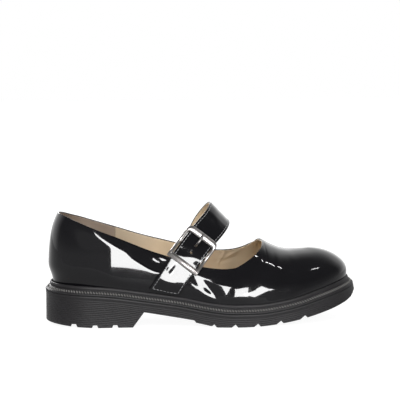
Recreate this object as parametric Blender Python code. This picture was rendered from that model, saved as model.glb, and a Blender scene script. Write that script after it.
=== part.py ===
"""A right-foot strap shoe with a buckle, standing empty on its sole.

Sizes are millimetres until make_object turns them into metres.  X runs from
heel to toe, Y to the inner (big-toe) side and Z up from the floor.
"""
import math

import bmesh
import bpy
from mathutils import Matrix, Vector

MM = 0.001
GAP = 0.3                # between pieces that touch
CUT_PAST = 12.0          # a cutter reaches this far past what it cuts

# ---------------------------------------------------------------- sizes
SOLE_LENGTH = 270.4
HEEL_ARC = 36.0          # how far the round of the heel reaches forward
TOE_ARC = 66.0           # how far the round of the toe reaches back
HEEL_ROUND = 2.15        # 2 is an ellipse, more is squarer
TOE_ROUND = 2.2
TOE_INSWING = 7.0        # the toe's tip lies this far to the inner side
HEEL_LEDGE = 0.35        # the ledge is this much wider behind the heel
RING = 96                # points round the shoe
BOX_MIDDLE = Vector((1.253, 0.754, 0.0))    # of the whole shoe; it is moved over the origin

SOLE_PLAN = (
    ("x", "lateral", "medial"),
    (-136.0, 35.0, 34.5),
    (-100.0, 36.0, 35.0),
    (-75.0, 36.5, 34.5),
    (-50.0, 37.5, 33.0),
    (-25.0, 40.0, 32.5),
    (0.0, 44.5, 35.0),
    (25.0, 48.5, 40.0),
    (50.0, 50.0, 45.0),
    (70.0, 49.5, 47.0),
    (100.0, 48.0, 47.5),
    (136.0, 47.5, 47.5),
)

# Height of the line where the upper goes into the welt.
WELT_LINE = (
    ("x", "z"),
    (-134.3, 37.0),
    (-110.3, 36.0),
    (-83.3, 34.2),
    (-48.3, 29.5),
    (-21.3, 25.6),
    (5.7, 20.6),
    (23.7, 19.0),
    (43.7, 19.2),
    (61.7, 21.0),
    (79.7, 24.3),
    (96.7, 28.8),
    (113.7, 33.2),
    (125.7, 36.0),
    (137.7, 38.5),
)

# The welt's section: depth under the welt line and inset from the sole's edge.
UPPER_INSET = 4.5
WELT_SECTION = (
    ("down", "inset"),
    (0.5, 4.2),
    (0.0, 3.8),
    (0.6, 3.2),
    (2.0, 2.9),
    (3.6, 3.3),
    (6.2, 0.2),
    (6.8, 0.0),
    (8.0, 0.5),
    (8.0, 4.2),
)
SOLE_TOP = 8.3           # top of the outsole under the welt line
SOLE_SIDE = (
    ("down", "inset"),
    (8.3, 1.1),
    (8.9, 0.3),
    (60.0, 0.3),
)
TOE_LEAN = 0.29          # the toe's side slopes forward this much per mm down
TOE_LEAN_START = 60.0

# Underside, seen from the side: the heel, its breast, the arch and the tread.
HEEL_BEVEL = ((-140.0, 5.6), (-128.0, 3.6), (-112.0, 1.5), (-94.0, 0.0))
HEEL_FRONT = -62.3
BREAST_TOP = (-52.8, 13.0)
ARCH_END = (-10.3, 6.0)
TREAD_START = (-8.8, 4.0)
TREAD_FLAT = (9.5, 28.0)
TOE_SPRING_RADIUS = 312.0
TOE_CORNER = ((125.0, 15.6), (131.0, 18.6), (135.0, 22.5), (141.0, 27.0))
HEEL_NOTCHES = (-112.4, -94.6, -77.4)
TREAD_NOTCHES = (6.6, 24.8, 44.2, 64.4, 86.0)
NOTCH_REACH = 19.0       # from the sole's edge inwards
NOTCH = (
    ("part", "depth", "rear_foot", "rear_top", "front_top", "front_foot"),
    (0, 2.3, -2.65, -1.7, 1.7, 2.65),
    (1, 2.6, -3.6, -0.2, 1.5, 1.9),
)
# Grooves under the tread: one runs inside each row of edge lugs, and short ones cross between them.
CHANNEL_INSET = 20.5
CHANNEL_WIDTH = 3.2
CHANNEL_DEPTH = 2.4
HEEL_CHANNEL = (-108.0, -67.0)
TREAD_CHANNEL = (-2.0, 104.0)
HEEL_CROSSES = (-103.5, -86.2)
TREAD_CROSSES = (15.5, 34.5, 54.2, 75.0, 95.0)

# ---------------------------------------------------------------- upper
WALL = 1.8
# The shoe's last: ridge height, and how square its sides are in section.
LAST = (
    ("x", "ridge", "lateral", "medial"),
    (-102.0, 111.0, 2.75, 2.75),
    (-68.0, 116.0, 2.7, 2.7),
    (-28.0, 115.0, 2.4, 2.6),
    (-5.0, 109.5, 2.05, 2.4),
    (8.0, 101.0, 1.95, 2.3),
    (16.0, 92.8, 1.95, 2.3),
    (24.5, 84.8, 2.05, 2.4),
    (33.0, 80.2, 2.15, 2.45),
    (44.0, 75.4, 2.15, 2.45),
    (55.5, 69.2, 2.15, 2.4),
    (63.0, 65.0, 2.15, 2.3),
    (71.5, 61.6, 2.15, 2.25),
    (80.0, 60.2, 2.15, 2.2),
    (89.0, 60.5, 2.15, 2.15),
    (97.0, 61.2, 2.15, 2.15),
)
RIDGE_TOE = 96.0
RIDGE_HEEL = -101.0
TOE_FAN_START = 52.0
HEEL_FAN_START = -66.0
RIDGE_INSWING = 4.0      # the ridge lies to the inner side over the toes
HEEL_BULGE = 3.6
SIDE_BULGE = 1.0
BULGE_RISE = 14.0        # the bulge is full this far above the welt line

TOPLINE = (
    ("x", "lateral", "medial"),
    (-150.0, 97.5, 97.5),
    (-126.0, 96.5, 96.5),
    (-110.0, 90.8, 91.8),
    (-93.0, 83.6, 86.4),
    (-75.0, 76.6, 81.2),
    (-48.0, 65.6, 73.5),
    (-30.0, 59.8, 69.0),
    (-12.0, 54.2, 64.4),
    (3.5, 50.9, 60.9),
    (15.5, 50.0, 58.6),
    (24.0, 50.4, 57.8),
    (31.5, 53.2, 57.8),
    (39.5, 57.6, 59.0),
    (46.5, 62.2, 61.8),
    (52.0, 66.8, 65.8),
    (55.0, 69.8, 69.8),
    (57.0, 74.0, 74.0),
    (60.0, 86.0, 86.0),
)

INSOLE_THICK = 4.0

# ---------------------------------------------------------------- strap
STRAP_WIDTH = 23.6
STRAP_THICK = 2.0
STRAP_STATIONS = 44
STRAP_COLUMNS = 4
# The strap's middle line over the last, and the slope of its width in degrees,
# as seen from the side.
STRAP_ROUTE = (
    ("height", "x", "tilt"),
    (20.0, -42.5, 30.0),
    (30.0, -35.4, 30.0),
    (54.8, -19.0, 32.5),
    (75.6, -2.4, 35.5),
    (92.4, 14.8, 46.0),
    (115.0, 36.0, 50.0),
)
INNER_FORWARD = 0.5      # past the crest the strap runs down more upright
INNER_TILT = 22.0
INNER_BEND = 35.0        # over this height
# How far the strap's inner face lies off the last, on the buckle's side.
STRAP_LIFT = (
    ("height", "lift"),
    (25.0, 0.5),
    (31.0, 0.6),
    (38.0, 1.9),
    (56.0, 1.9),
    (65.2, 1.9),
    (72.0, 0.65),
    (85.0, 0.5),
)
INNER_LIFT = 0.5         # the same over the inner quarter
TAIL_HEIGHT = 30.0       # where the free end stops above the welt
TAIL_CUT = 0.28          # the end is cut on a slant, in line with the welt
LAP_HEIGHT = 48.0        # where the sewn end stops on the inner quarter
PIN_HOLES = (69.3, 63.6)
HOLE_DIAMETER = 3.8

CHAPE_WIDTH = 19.0
CHAPE_THICK = 1.1
CHAPE_LIFT = (
    ("height", "lift"),
    (40.0, 0.35),
    (57.5, 0.35),
    (60.5, -1.3),
    (62.6, -2.4),
    (64.1, -2.9),
)
CHAPE_SLOT = (4.0, 9.0)  # width and length of the opening in the fold for the buckle's pin
FOLD_SIDES = 14

# ---------------------------------------------------------------- buckle
LOWER_BAR = 54.8         # heights on the strap's route
MIDDLE_BAR = 65.2
UPPER_BAR = 75.6
BAR_CLEAR = 0.5          # between the end bars and the strap under them
MIDDLE_BAR_LIFT = -1.0
MIDDLE_BAR_CRANK = 1.8   # its ends turn up this far to meet the rails
WIRE = 3.0
BAR_WIRE = 2.2
PIN_WIRE = 1.8
PIN_EYE_WIRE = 1.0
PIN_ROUTE = (            # up the strap, measured from the hole, and out
    (-1.4, 0.6),
    (-0.4, 1.8),
    (0.0, 3.4),
    (0.8, 5.0),
)
RAIL_REACH = STRAP_WIDTH / 2 + GAP + WIRE / 2 + 0.7
UPPER_CORNER = 4.3
LOWER_CORNER = 2.2
MIDDLE_BAR_END = (       # across the strap and out
    (10.5, 0.0),
    (12.4, 0.4),
    (RAIL_REACH, MIDDLE_BAR_CRANK),
)


# ---------------------------------------------------------------- reading tables
def read(table, column, at):
    """A column's value on the smooth curve through the table's rows."""
    key, rows = table[0].index(column), table[1:]
    xs = [row[0] for row in rows]
    ys = [row[key] for row in rows]
    if at <= xs[0]:
        return ys[0]
    if at >= xs[-1]:
        return ys[-1]
    i = max(j for j in range(len(xs) - 1) if xs[j] <= at)
    slopes = [(ys[j + 1] - ys[j]) / (xs[j + 1] - xs[j]) for j in range(len(xs) - 1)]

    def tangent(j):
        if j in (0, len(xs) - 1):
            return slopes[min(j, len(slopes) - 1)]
        low, high = slopes[j - 1], slopes[j]
        if low * high <= 0:
            return 0.0
        before, after = xs[j] - xs[j - 1], xs[j + 1] - xs[j]
        return (before + after) / (after / high + before / low)

    span = xs[i + 1] - xs[i]
    t = (at - xs[i]) / span
    return (
        ys[i] * (2 * t - 3) * t * t + ys[i]
        + tangent(i) * span * t * (1 - t) ** 2
        + ys[i + 1] * (3 - 2 * t) * t * t
        + tangent(i + 1) * span * t * t * (t - 1)
    )


def ease(t):
    """0 to 1 with soft ends."""
    t = min(max(t, 0.0), 1.0)
    return t * t * (3 - 2 * t)


# ---------------------------------------------------------------- the shoe's form
def middle(x):
    """The sole's middle line, which swings inwards over the toes."""
    return TOE_INSWING * ease((x - 20.0) / 115.0)


def half_width(x, side, inset=0.0):
    """Half the width of the sole's outline, less an inset, on one side of the middle line."""
    column = "medial" if side > 0 else "lateral"
    half = SOLE_LENGTH / 2 - inset
    width = read(SOLE_PLAN, column, x) - inset
    if x < 0:
        arc, power = HEEL_ARC - inset, HEEL_ROUND
    else:
        arc, power = TOE_ARC - inset, TOE_ROUND
    reach = min(max((abs(x) - (half - arc)) / arc, 0.0), 1.0)
    return width * (1 - reach ** power) ** (1 / power)


def outline(turn, inset=0.0):
    """A point of the sole's outline; turn goes once round from the toe by the inner side."""
    along = math.cos(2 * math.pi * turn)
    inset *= 1 + HEEL_LEDGE * ease((-along - 0.7) / 0.3)
    x = (SOLE_LENGTH / 2 - inset) * along
    side = 1 if turn % 1.0 < 0.5 else -1
    return x, middle(x) + side * half_width(x, side, inset)


def welt_height(x):
    return read(WELT_LINE, "z", x)


def ridge_station(x):
    """Where the ridge is met by the section that starts at x on the feather edge."""
    end = SOLE_LENGTH / 2 - UPPER_INSET
    if x > TOE_FAN_START:
        run, reach, start, sign = x - TOE_FAN_START, end - TOE_FAN_START, TOE_FAN_START, 1
        gain = RIDGE_TOE - TOE_FAN_START
    elif x < HEEL_FAN_START:
        run, reach, start, sign = HEEL_FAN_START - x, end + HEEL_FAN_START, HEEL_FAN_START, -1
        gain = HEEL_FAN_START - RIDGE_HEEL
    else:
        return x
    return start + sign * (run - (reach - gain) * (run / reach) ** 2)


def ridge_middle(x):
    return RIDGE_INSWING * ease((x - 10.0) / 60.0)


def bulge(x, height, up):
    """How far the quarter stands out past its plain section."""
    amount = SIDE_BULGE + (HEEL_BULGE - SIDE_BULGE) * ease((-60.0 - x) / 60.0)
    amount *= ease((40.0 - x) / 80.0)
    return amount * ease(height / BULGE_RISE) * (1 - up ** 6)


def arch(rise, power):
    """How far in and up the last's section has gone at rise, from its foot (0) to its ridge (1)."""
    if rise >= 1:
        return 1.0, 1.0
    across, along = math.cos(rise * math.pi / 2), math.sin(rise * math.pi / 2)
    size = (across ** power + along ** power) ** (-1 / power)
    return 1 - across * size, along * size


def upper_point(turn, rise, depth=0.0):
    """A point of the upper: rise goes from 0 at the welt line to 1 at the ridge, depth is under its skin."""
    start_x, _ = outline(turn, UPPER_INSET)
    x, y = outline(turn, UPPER_INSET + depth)
    z = welt_height(start_x)
    top_x = ridge_station(start_x)
    top = Vector((top_x, ridge_middle(top_x), read(LAST, "ridge", top_x) - depth))
    power = read(LAST, "medial" if turn % 1.0 < 0.5 else "lateral", top_x)
    inward, up = arch(rise, power)
    out = Vector((x - top.x, y - top.y, 0.0)).normalized()
    out *= bulge(start_x, (top.z - z) * up, up)
    return Vector((x + (top.x - x) * inward, y + (top.y - y) * inward, z + (top.z - z) * up)) + out


def wall_y(x, z, side, depth=0.0):
    """The upper's y at a height, for stations between the two fans."""
    foot = welt_height(x)
    top = read(LAST, "ridge", x) - depth
    power = read(LAST, "medial" if side > 0 else "lateral", x)
    up = min(max((z - foot) / (top - foot), 0.0), 1.0)
    inward = 1 - (1 - up ** power) ** (1 / power)
    edge = middle(x) + side * half_width(x, side, UPPER_INSET + depth)
    return edge + (ridge_middle(x) - edge) * inward + side * bulge(x, (top - foot) * up, up)


# ---------------------------------------------------------------- meshes
def loft(bm, rows, closed=True):
    """Skin through rows of points: the first row is a ring or chain of edges, extruded row by row."""
    verts = [bm.verts.new(point) for point in rows[0]]
    count = len(verts)
    edges = [bm.edges.new((verts[i], verts[i + 1])) for i in range(count - 1)]
    if closed:
        edges.append(bm.edges.new((verts[-1], verts[0])))
    first = list(verts)
    for row in rows[1:]:
        grown = bmesh.ops.extrude_edge_only(bm, edges=edges)["geom"]
        fresh = {item for item in grown if isinstance(item, bmesh.types.BMVert)}
        edges = [item for item in grown if isinstance(item, bmesh.types.BMEdge)]
        verts = [next(e.other_vert(v) for e in v.link_edges if e.other_vert(v) in fresh) for v in verts]
        for vert, point in zip(verts, row):
            vert.co = point
    return first, verts


def fill_across(bm, ring):
    """Closes a ring with strips from its inner to its outer side, so that a curved face stays ruled."""
    count = len(ring)
    bm.faces.new((ring[0], ring[1], ring[count - 1]))
    for i in range(1, count // 2 - 1):
        bm.faces.new((ring[i], ring[i + 1], ring[count - i - 1], ring[count - i]))
    bm.faces.new((ring[count // 2 - 1], ring[count // 2], ring[count // 2 + 1]))


def make_object(name, bm, material=None, cutter=False):
    """Turns a bmesh in millimetres into an object in metres."""
    bmesh.ops.remove_doubles(bm, verts=bm.verts[:], dist=0.0005)
    bmesh.ops.recalc_face_normals(bm, faces=bm.faces[:])
    bmesh.ops.translate(bm, vec=-BOX_MIDDLE, verts=bm.verts[:])
    bmesh.ops.scale(bm, vec=(MM, MM, MM), verts=bm.verts[:])
    mesh = bpy.data.meshes.new(name)
    bm.to_mesh(mesh)
    bm.free()
    obj = bpy.data.objects.new(name, mesh)
    bpy.context.scene.collection.objects.link(obj)
    if cutter:
        obj.hide_render = True
        obj.display_type = "WIRE"
    else:
        mesh.shade_smooth()
        mesh.set_sharp_from_angle(angle=math.radians(35))
        mesh.materials.append(material)
    return obj


def make_material(name, colour, roughness, metallic=0.0, coat=0.0):
    material = bpy.data.materials.new(name)
    material.use_nodes = True
    shader = material.node_tree.nodes["Principled BSDF"]
    shader.inputs["Base Color"].default_value = (*colour, 1.0)
    shader.inputs["Roughness"].default_value = roughness
    shader.inputs["Metallic"].default_value = metallic
    shader.inputs["Coat Weight"].default_value = coat
    return material


def boolean(obj, tool, operation="DIFFERENCE"):
    modifier = obj.modifiers.new(f"{operation.lower()}_{tool.name}", "BOOLEAN")
    modifier.operation = operation
    modifier.solver = "EXACT"
    modifier.object = tool


def prism(bm, profile, axis, low, high):
    """A closed prism: the profile's (a, b) pairs run along the other two axes in order."""
    def place(pair, at):
        point = list(pair)
        point.insert(axis, at)
        return Vector(point)

    first, last = loft(bm, [[place(pair, low) for pair in profile], [place(pair, high) for pair in profile]])
    bm.faces.new(first)
    bm.faces.new(last)


# ---------------------------------------------------------------- sole
def sole_row(down, inset):
    row = []
    for i in range(RING):
        x, y = outline(i / RING, inset)
        z = welt_height(x) - down
        lean = TOE_LEAN * ease((x - TOE_LEAN_START) / 60.0) * min(down, 16.0)
        row.append(Vector((x + lean, y, z)))
    return row


def underside_height(x):
    """The tread's own height at x, with no notches."""
    if x < HEEL_BEVEL[-1][0]:
        for (x0, z0), (x1, z1) in zip(HEEL_BEVEL, HEEL_BEVEL[1:]):
            if x <= x1:
                return z0 + (z1 - z0) * (x - x0) / (x1 - x0)
    if x > TREAD_FLAT[1]:
        return (x - TREAD_FLAT[1]) ** 2 / (2 * TOE_SPRING_RADIUS)
    return 0.0


def underside_profile():
    """The underside from heel to toe, as one line in X and Z."""
    points = list(HEEL_BEVEL)
    points += [(HEEL_FRONT, 0.0), BREAST_TOP, ARCH_END, TREAD_START, (TREAD_FLAT[0], 0.0)]
    steps = 8
    start, end = TREAD_FLAT[1], TOE_CORNER[0][0]
    points += [(x, underside_height(x)) for x in (start + (end - start) * i / steps for i in range(steps))]
    return points + list(TOE_CORNER)


def build_ground_cutter():
    bm = bmesh.new()
    prism(bm, underside_profile() + [(150.0, 60.0), (150.0, -40.0), (-150.0, -40.0), (-150.0, 6.0)],
          1, -80.0, 80.0)
    return make_object("ground_cutter", bm, cutter=True)


def build_notch_cutter():
    """The side notches between the lugs, on both edges of heel and tread."""
    bm = bmesh.new()
    for part, places in ((0, HEEL_NOTCHES), (1, TREAD_NOTCHES)):
        _, depth, rear_foot, rear_top, front_top, front_foot = NOTCH[1 + part]
        for x in places:
            z = underside_height(x)
            spread = 1.0 / depth
            profile = [
                (x + rear_top, z + depth),
                (x + front_top, z + depth),
                (x + front_foot + (front_foot - front_top) * spread, z - 1.0),
                (x + rear_foot - (rear_top - rear_foot) * spread, z - 1.0),
            ]
            for side in (-1, 1):
                edge = middle(x) + side * half_width(x, side)
                low, high = sorted((edge - side * NOTCH_REACH, edge + side * CUT_PAST))
                prism(bm, profile, 1, low, high)
    return make_object("notch_cutter", bm, cutter=True)


def groove(bm, stations):
    """A closed cutter through stations of (x, y of one edge, y of the other)."""
    rows = []
    for x, y0, y1 in stations:
        top = underside_height(x) + CHANNEL_DEPTH
        rows.append([Vector((x, y0, -5.0)), Vector((x, y1, -5.0)), Vector((x, y1, top)), Vector((x, y0, top))])
    first, last = loft(bm, rows)
    bm.faces.new(first)
    bm.faces.new(last)


def build_channel_cutter():
    bm = bmesh.new()
    for start, end in (HEEL_CHANNEL, TREAD_CHANNEL):
        for side in (-1, 1):
            stations = []
            for x in (start + (end - start) * i / 10 for i in range(11)):
                outer = middle(x) + side * half_width(x, side, CHANNEL_INSET)
                stations.append((x, outer, outer - side * CHANNEL_WIDTH))
            groove(bm, stations)
    return make_object("channel_cutter", bm, cutter=True)


def build_cross_cutter():
    bm = bmesh.new()
    for x in HEEL_CROSSES + TREAD_CROSSES:
        reach = [middle(x) + side * (half_width(x, side, CHANNEL_INSET) - CHANNEL_WIDTH / 2) for side in (-1, 1)]
        groove(bm, [(x - CHANNEL_WIDTH / 2, *reach), (x + CHANNEL_WIDTH / 2, *reach)])
    return make_object("cross_cutter", bm, cutter=True)


def build_sole(rubber):
    bm = bmesh.new()
    rows = [sole_row(row[0], row[1]) for row in SOLE_SIDE[1:]]
    for point in rows[-1]:
        point.z = -12.0
    first, last = loft(bm, rows)
    fill_across(bm, first)
    bm.faces.new(last)
    sole = make_object("outsole", bm, rubber)
    boolean(sole, build_ground_cutter())
    boolean(sole, build_notch_cutter())
    boolean(sole, build_channel_cutter())
    boolean(sole, build_cross_cutter())
    return sole


def build_welt(rubber):
    bm = bmesh.new()
    rows = [sole_row(row[0], row[1]) for row in WELT_SECTION[1:]]
    loft(bm, rows + rows[:1])
    return make_object("welt", bm, rubber)


def build_insole(leather):
    bm = bmesh.new()
    inset = UPPER_INSET + WALL + GAP
    bottom = sole_row(SOLE_TOP - GAP, inset)
    top = sole_row(SOLE_TOP - GAP - INSOLE_THICK, inset)
    first, last = loft(bm, [bottom, top])
    fill_across(bm, first)
    fill_across(bm, last)
    return make_object("insole", bm, leather)


# ---------------------------------------------------------------- upper
def upper_rows(depth, steps):
    rows = [[upper_point(i / RING, step / steps, depth) for i in range(RING)] for step in range(steps + 1)]
    return [sole_row(SOLE_TOP - GAP, UPPER_INSET + depth)] + rows


def build_opening_cutter():
    """Everything above the topline, ruled from its outer to its inner side."""
    bm = bmesh.new()
    reach = SOLE_PLAN[-1][1] + 2 * CUT_PAST
    top = STRAP_ROUTE[-1][0] + 2 * CUT_PAST
    stations = [row[0] for row in TOPLINE[1:]]
    fine = sorted({a + (b - a) * k / 4 for a, b in zip(stations, stations[1:]) for k in range(5)})
    rows = []
    for x in fine:
        lateral, medial = (read(TOPLINE, side, x) for side in ("lateral", "medial"))
        slope = (medial - lateral) / 70.0
        middle_z = (medial + lateral) / 2
        rows.append([
            Vector((x, -reach, middle_z - slope * reach)),
            Vector((x, reach, middle_z + slope * reach)),
            Vector((x, reach, top)),
            Vector((x, -reach, top)),
        ])
    first, last = loft(bm, rows)
    bm.faces.new(first)
    bm.faces.new(last)
    return make_object("opening_cutter", bm, cutter=True)


def build_upper(leather):
    bm = bmesh.new()
    inner = upper_rows(WALL, 9)
    outer = upper_rows(0.0, 12)
    loft(bm, list(reversed(inner)) + outer)
    upper = make_object("upper", bm, leather)
    boolean(upper, build_opening_cutter())
    return upper


# ---------------------------------------------------------------- strap
def route_point(height, across, past=0.0):
    """x and z of a point on the strap's route; past is how far it has come down the inner side."""
    tilt = math.radians(read(STRAP_ROUTE, "tilt", height) - INNER_TILT * ease(past / INNER_BEND))
    x = read(STRAP_ROUTE, "x", height) + INNER_FORWARD * past + across * math.cos(tilt)
    return x, height - across * math.sin(tilt)


def crest(across):
    """The route's height where it crosses the last's ridge."""
    low, high = 60.0, 115.0
    for _ in range(40):
        half = (low + high) / 2
        x, z = route_point(half, across)
        low, high = (half, high) if z < read(LAST, "ridge", x) else (low, half)
    return low


def foot_height(side, across):
    return LAP_HEIGHT if side > 0 else TAIL_HEIGHT + TAIL_CUT * across


def strap_height(turn, across):
    """turn runs from -1 at the free end over 0 at the crest to 1 at the sewn end."""
    side = 1 if turn > 0 else -1
    foot = foot_height(side, across)
    return foot + (crest(across) - foot) * math.cos(abs(turn) * math.pi / 2)


def turn_at(height):
    """The turn where the strap's middle line passes a height on the buckle's side."""
    foot = foot_height(-1, 0.0)
    return -math.acos((height - foot) / (crest(0.0) - foot)) * 2 / math.pi


def on_last(turn, across):
    height = strap_height(turn, across)
    x, z = route_point(height, across, crest(across) - height if turn > 0 else 0.0)
    return Vector((x, wall_y(x, z, 1 if turn > 0 else -1), z))


def strap_normal(turn, across):
    step = 0.01
    along = on_last(min(turn + step, 1.0), across) - on_last(max(turn - step, -1.0), across)
    over = on_last(turn, across + 1.0) - on_last(turn, across - 1.0)
    return over.cross(along).normalized()


def strap_point(turn, across, lift):
    return on_last(turn, across) + strap_normal(turn, across) * lift


def strap_lift(turn):
    if turn > 0:
        return INNER_LIFT
    return read(STRAP_LIFT, "lift", strap_height(turn, 0.0))


def band(bm, turns, width, thick, lift_of):
    """A flat band along the strap's route, lofted from its two faces."""
    rows = []
    for turn in turns:
        low = lift_of(turn)
        steps = [width * (i / STRAP_COLUMNS - 0.5) for i in range(STRAP_COLUMNS + 1)]
        under = [strap_point(turn, across, low) for across in steps]
        over = [strap_point(turn, across, low + thick) for across in reversed(steps)]
        rows.append(under + over)
    first, last = loft(bm, rows)
    for ring in (first, last):
        for i in range(STRAP_COLUMNS):
            j = len(ring) - 1 - i
            bm.faces.new((ring[i], ring[i + 1], ring[j - 1], ring[j]))


def drill(height):
    """A cutter for a pin hole, square to the strap."""
    turn = turn_at(height)
    centre = strap_point(turn, 0.0, strap_lift(turn) + STRAP_THICK / 2)
    axis = strap_normal(turn, 0.0)
    bm = bmesh.new()
    bmesh.ops.create_cone(bm, cap_ends=True, segments=12, radius1=HOLE_DIAMETER / 2,
                          radius2=HOLE_DIAMETER / 2, depth=CUT_PAST)
    turned = axis.to_track_quat("Z", "Y").to_matrix().to_4x4()
    bmesh.ops.transform(bm, matrix=Matrix.Translation(centre) @ turned, verts=bm.verts[:])
    return make_object(f"hole_cutter_{height:.0f}", bm, cutter=True)


def build_strap(leather):
    bm = bmesh.new()
    turns = [2 * i / STRAP_STATIONS - 1 for i in range(STRAP_STATIONS + 1)]
    band(bm, turns, STRAP_WIDTH, STRAP_THICK, strap_lift)
    strap = make_object("strap", bm, leather)
    for height in PIN_HOLES:
        boolean(strap, drill(height))
    return strap


# ---------------------------------------------------------------- buckle
def buckle_place():
    """The buckle's own axes: across the strap, up the strap, and out; its origin is the middle bar."""
    origin = strap_point(turn_at(MIDDLE_BAR), 0.0, MIDDLE_BAR_LIFT)
    ends = []
    for height in (LOWER_BAR, UPPER_BAR):
        turn = turn_at(height)
        ends.append(strap_point(turn, 0.0, strap_lift(turn) + STRAP_THICK + BAR_CLEAR + WIRE / 2))
    up = (ends[1] - ends[0]).normalized()
    across = Vector((0.0, 0.0, 0.0))
    for height in (LOWER_BAR, UPPER_BAR):
        turn = turn_at(height)
        across += on_last(turn, RAIL_REACH) - on_last(turn, -RAIL_REACH)
    across = (across - up * across.dot(up)).normalized()
    out = across.cross(up).normalized()
    place = Matrix((across, up, out)).transposed().to_4x4()
    place.translation = origin
    reach = [(end - origin).dot(up) for end in ends]
    height = sum((end - origin).dot(out) for end in ends) / 2
    return place, reach, height


def tube(bm, path, radius, sides, closed, square_to=Vector((0, 0, 1))):
    """A round wire along a path; square_to is never along the path."""
    rows = []
    count = len(path)
    for i, point in enumerate(path):
        if closed:
            ahead, behind = path[(i + 1) % count], path[i - 1]
        else:
            ahead, behind = path[min(i + 1, count - 1)], path[max(i - 1, 0)]
        tangent = (ahead - behind).normalized()
        a = square_to.cross(tangent).normalized()
        b = tangent.cross(a)
        angles = [2 * math.pi * k / sides for k in range(sides)]
        rows.append([point + (a * math.cos(t) + b * math.sin(t)) * radius for t in angles])
    if closed:
        loft(bm, rows + rows[:1])
        return
    first, last = loft(bm, rows)
    bm.faces.new(first)
    bm.faces.new(last)


def frame_path(reach, height):
    """The buckle frame's middle line, bowed so that its end bars stand over the middle bar."""
    low, high = reach
    corners = (
        (RAIL_REACH, low, LOWER_CORNER, -90),
        (RAIL_REACH, high, UPPER_CORNER, 0),
        (-RAIL_REACH, high, UPPER_CORNER, 90),
        (-RAIL_REACH, low, LOWER_CORNER, 180),
    )
    flat = []
    for x, y, radius, start in corners:
        cx = x - math.copysign(radius, x)
        cy = y - math.copysign(radius, y)
        for k in range(5):
            angle = math.radians(start + 90 * k / 4)
            flat.append((cx + radius * math.cos(angle), cy + radius * math.sin(angle)))
        if y == low and x > 0:
            flat += [(x, y + (high - y) * k / 5) for k in (1, 2, 3)]
        if y == high and x < 0:
            flat += [(x, low + (high - low) * k / 5) for k in (3, 2, 1)]
    path = []
    for x, y in flat:
        along = y / (high if y > 0 else low)
        bow = 1 - (1 - min(along, 1.0) ** 2) ** 2
        path.append(Vector((x, y, MIDDLE_BAR_CRANK + (height - MIDDLE_BAR_CRANK) * bow)))
    return path


def build_buckle(metal):
    place, reach, height = buckle_place()
    bm = bmesh.new()
    tube(bm, frame_path(reach, height), WIRE / 2, 10, True)
    bmesh.ops.transform(bm, matrix=place, verts=bm.verts[:])
    frame = make_object("buckle_frame", bm, metal)
    bm = bmesh.new()
    bar_path = [Vector((side * x, 0.0, z)) for side in (-1, 1) for x, z in MIDDLE_BAR_END[::side]]
    tube(bm, bar_path, BAR_WIRE / 2, 10, False)
    bmesh.ops.transform(bm, matrix=place, verts=bm.verts[:])
    bar = make_object("middle_bar", bm, cutter=True)
    boolean(frame, bar, "UNION")
    return frame


def build_pin(metal):
    """The pin turns on the middle bar, comes up through the strap and lies on the upper bar."""
    place, reach, height = buckle_place()
    eye = BAR_WIRE / 2 + GAP + PIN_EYE_WIRE / 2
    top = height + WIRE / 2 + GAP + PIN_WIRE / 2
    ring = [Vector((0.0, math.cos(a), math.sin(a))) * eye for a in (math.radians(20 * k) for k in range(18))]
    bm = bmesh.new()
    tube(bm, ring, PIN_EYE_WIRE / 2, 8, True, Vector((1, 0, 0)))
    bmesh.ops.transform(bm, matrix=place, verts=bm.verts[:])
    pin = make_object("buckle_pin", bm, metal)
    hole = (turn_at(PIN_HOLES[0]), turn_at(MIDDLE_BAR))
    hole = (on_last(hole[0], 0.0) - on_last(hole[1], 0.0)).length
    route = [(eye + 0.1, 0.2)] + [(hole + along, out) for along, out in PIN_ROUTE]
    route += [(hole + 2.6, top + 0.2), (reach[1], top), (reach[1] + 2.0, top - 0.3)]
    bm = bmesh.new()
    tube(bm, [Vector((0.0, y, z)) for y, z in route], PIN_WIRE / 2, 8, False, Vector((1, 0, 0)))
    bmesh.ops.transform(bm, matrix=place, verts=bm.verts[:])
    shank = make_object("pin_shank", bm, cutter=True)
    boolean(pin, shank, "UNION")
    return pin


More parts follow.
